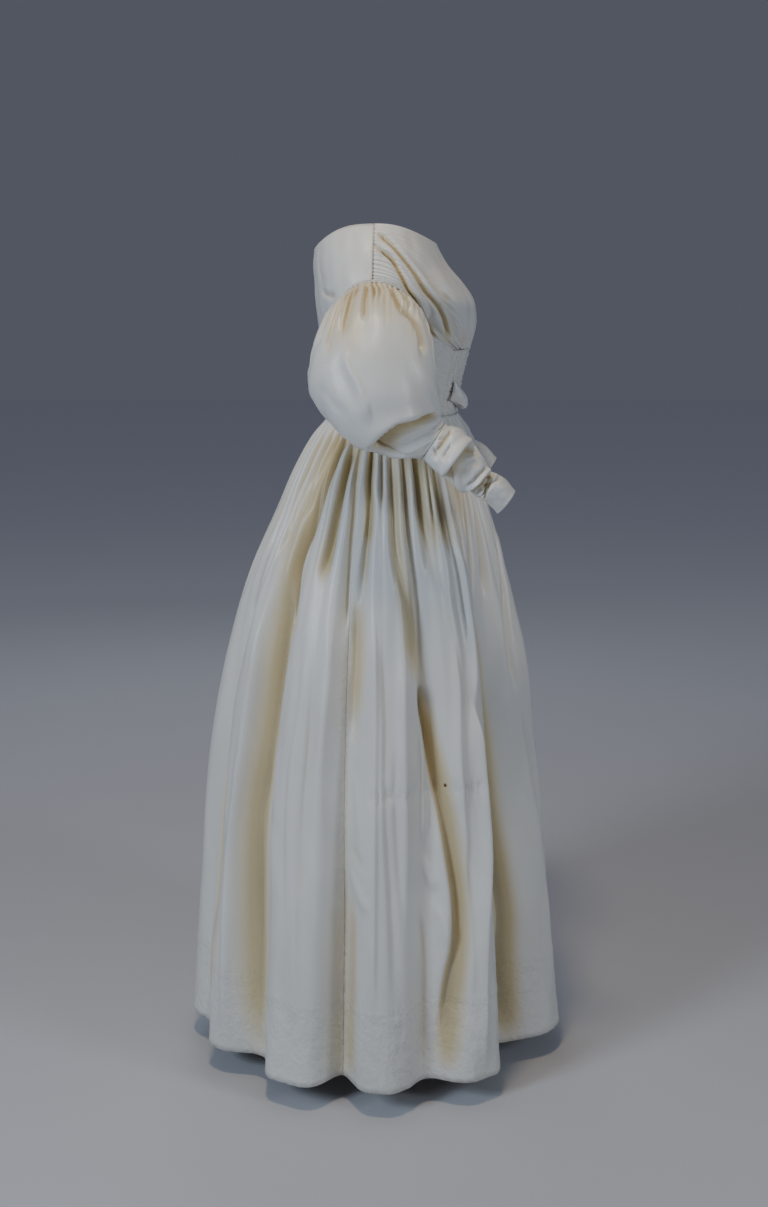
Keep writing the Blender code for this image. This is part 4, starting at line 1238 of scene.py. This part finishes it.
def makeKnot(material):
    mesh = bmesh.new()
    bmesh.ops.create_uvsphere(mesh, u_segments=48, v_segments=32, radius=0.5)
    front = bodicePoints(np.zeros(1), np.array([bow["z"]]))[0]
    middle = front + np.array([0.0, -(bow["clearance"] + 0.5 * bow["knotSize"][1]), 0.0])
    for vert in mesh.verts:
        x, y, z = vert.co
        wrap = 1.0 - 0.09 * (0.5 - 0.5 * math.cos(5 * math.pi * (x + 0.15 * z)))
        pinch = 1.0 - 0.16 * math.cos(math.pi * z) * abs(x)
        place = Vector((x * pinch, y * wrap, z * wrap))
        vert.co = Vector(middle) + Vector([size * part for size, part in zip(bow["knotSize"], place)])
    addPiece("bow_knotShell", smoothData("bow_knotShell", mesh), material, "bow_knot")


def makePiping(side, hand, material):
    # a cord covered in the dress silk, laid round the armhole seam
    node = "armhole_piping_" + hand
    curve = bpy.data.curves.new(node + "Cover", "CURVE")
    curve.dimensions = "3D"
    curve.bevel_depth = body["pipingRadius"]
    curve.bevel_resolution = 3
    turn = np.arange(0.0, 360.0, 3.0)
    degrees, z = armholePlace(turn)
    line = bodicePoints(side * degrees, z)
    spline = curve.splines.new("POLY")
    spline.points.add(len(line) - 1)
    for target, point in zip(spline.points, line):
        target.co = (*point, 1.0)
    spline.use_cyclic_u = True
    addPiece(node + "Cover", curve, material, node=node)


# Stitches

sewing = {
    "stitchLength": 0.0032,
    "stitchThick": 0.00055,
    "stitchStep": 0.0062,
}


def stitchRow(name, surface, across, down, material):
    # surface gives points from two coordinates, and the path runs through across and down
    points = surface(across, down)
    reach = np.concatenate([[0.0], np.cumsum(np.linalg.norm(np.diff(points, axis=0), axis=1))])
    spots = np.arange(0.5 * sewing["stitchStep"], reach[-1], sewing["stitchStep"])
    across, down = np.interp(spots, reach, across), np.interp(spots, reach, down)
    centres = surface(across, down)
    along = np.gradient(centres, axis=0)
    along /= np.linalg.norm(along, axis=1, keepdims=True)
    outward = normalsOf(surface, across, down, 0.15, 0.0012, -1.0)
    mesh = bmesh.new()
    for centre, stretch, out in zip(centres, along, outward):
        thick = sewing["stitchThick"] / 2
        axes = [stretch * sewing["stitchLength"] / 2, np.cross(out, stretch) * thick, out * thick]
        place = Matrix(axes).transposed().to_4x4()
        place.translation = Vector(centre)
        bmesh.ops.create_icosphere(mesh, subdivisions=1, radius=1.0, matrix=place)
    bmesh.ops.recalc_face_normals(mesh, faces=mesh.faces[:])
    addPiece(name, smoothData(name, mesh), material)


def makeStitches(thread):
    def onSkirt(degrees, z):
        return skirtSewn(degrees, z)[0]

    z = np.linspace(-0.62, -1.352, 300)
    for seamDeg in (102.0, -102.0, 46.0, -46.0, 180.0):
        name = "skirtSeamStitches" + str(round(seamDeg)).replace("-", "Left")
        stitchRow(name, onSkirt, seamDeg + 0.35 + 0 * z, z, thread)
    degrees = np.linspace(-180.0, 180.0, 900)
    bandZ = skirt["hemBandZ"] + 0.006 * np.sin(np.radians(degrees) * 3.0)
    stitchRow("hemBandStitches", onSkirt, degrees, bandZ, thread)
    low, high = skirt["piecedSeamDegs"]
    degrees = np.linspace(low, high, 120)
    stitchRow("piecedSeamStitches", onSkirt, degrees, skirt["piecedSeamZ"] + 0 * degrees, thread)
    for side, hand in ((1, "Right"), (-1, "Left")):
        v = np.linspace(0.01, backShoulderPart * 0.97, 40)
        edgeDeg, edgeZ = backEdge(v)
        stitchRow("shoulderStitches" + hand, bodicePoints, side * (edgeDeg + 0.9), edgeZ, thread)


# Putting it together

def makeFloor():
    mesh = bmesh.new()
    bmesh.ops.create_grid(mesh, x_segments=8, y_segments=8, size=studio["floorHalf"])
    for vert in mesh.verts:
        vert.co.z = studio["floorZ"]
    data = smoothData("floor", mesh)
    shop = Shop("paleFloor")
    grain = shop.noise(shop.place(), (3.0, 3.0, 3.0), 4.0, 0.6)
    away = shop.node("ShaderNodeVectorMath", "Value", {"operation": "LENGTH"}, i0=shop.place())
    # painted light: the floor goes from darker near the dress to paler far off, making up for the lamps'
    # light falling off
    paintedDistanceLight = shop.rise(away, 1.5, 5.0) + grain * 0.06
    color = shop.mix(paintedDistanceLight, studio["floorNear"], studio["floorFar"])
    plug(shop.tree, shop.shader.inputs["Base Color"], color)
    shop.shader.inputs["Roughness"].default_value = 0.85
    data.materials.append(shop.material)
    linked("floor", data)


hands = ((1, "right"), (-1, "left"))


def makeBodice(satin, crinkled):
    for side, hand in hands:
        back, front = [backGrid(side)], [sideGrid(side)]
        clothShell("back_" + hand, back, (72, 90), satin, (0.24, 0.31), "stretched", ["side_" + hand])
        clothShell("side_" + hand, front, (84, 60), crinkled, (0.16, 0.12), "stretched", ["midriff"])
    drape = [drapeGrid(1), drapeGrid(-1)]
    clothShell("front_drape", drape, (150, 76), satin, (0.52, 0.24), "gathered", ["midriff"])
    restsOn = ["side_right", "side_left"]
    clothShell("midriff", [midriffGrid], (120, 70), crinkled, (0.24, 0.12), "gathered", restsOn)


def makeSkirt(satin, nearSide):
    names = ["skirt_back_left", "skirt_side_left", "skirt_front", "skirt_side_right", "skirt_back_right"]
    seams = skirt["seamDegs"]
    for name, start, end in zip(names, seams, seams[1:]):
        size = (round((end - start) / skirt["columnDeg"]), skirt["rows"])
        material = nearSide if name == "skirt_side_right" else satin
        flatSize = (skirt["clothOfDegree"] * (end - start), 1.07)
        clothShell(name, [skirtGrid(start, end)], size, material, flatSize, "hung", ["midriff"])


def makeSleeves(satin):
    for side, hand in hands:
        puff = [sleeveGrid(side, puffPoints, puffRelief(side), puffFlat)]
        clothShell("sleeve_puff_" + hand, puff, (336, 70), satin, (0.56, 0.32), "gathered", ["back_" + hand])
        lower = [sleeveGrid(side, lowerPoints, lowerRelief(side), lowerFlat)]
        restsOn = ["sleeve_puff_" + hand]
        clothShell("sleeve_lower_" + hand, lower, (110, 100), satin, (0.20, 0.20), "gathered", restsOn)


def makeBow(ribbon):
    for side, hand in hands:
        more = {"thick": bow["ribbonWall"], "slot": "silk_ribbon"}
        loop = [bowGrid(side)]
        clothShell("bow_loop_" + hand, loop, (96, 14), ribbon, (0.16, 0.022), "folded", ["bow_knot"], **more)
    makeKnot(ribbon)


makeCamera()
makeLights()
makeFloor()
print("studio ready")
satin = makeSilk("ivorySatin")
nearSide = makeSilk("ivorySatinWorn", holes=True)
crinkled = makeSilk("ivorySatinCrinkled", crinkle=2.2)
plain = makeSilk("ivorySatinPlain", sewn=False)
ribbon = makeSilk("ivoryRibbon", bright=0.15, sewn=False, pale=0.9)
print("silks ready")
makeBodice(satin, crinkled)
print("bodice done")
makeSkirt(satin, nearSide)
print("skirt done")
makeSleeves(satin)
for side, hand in hands:
    makePiping(side, hand, plain)
makeBow(ribbon)
print("sleeves, piping and bow done")
makeStitches(plain)
print("stitches done")
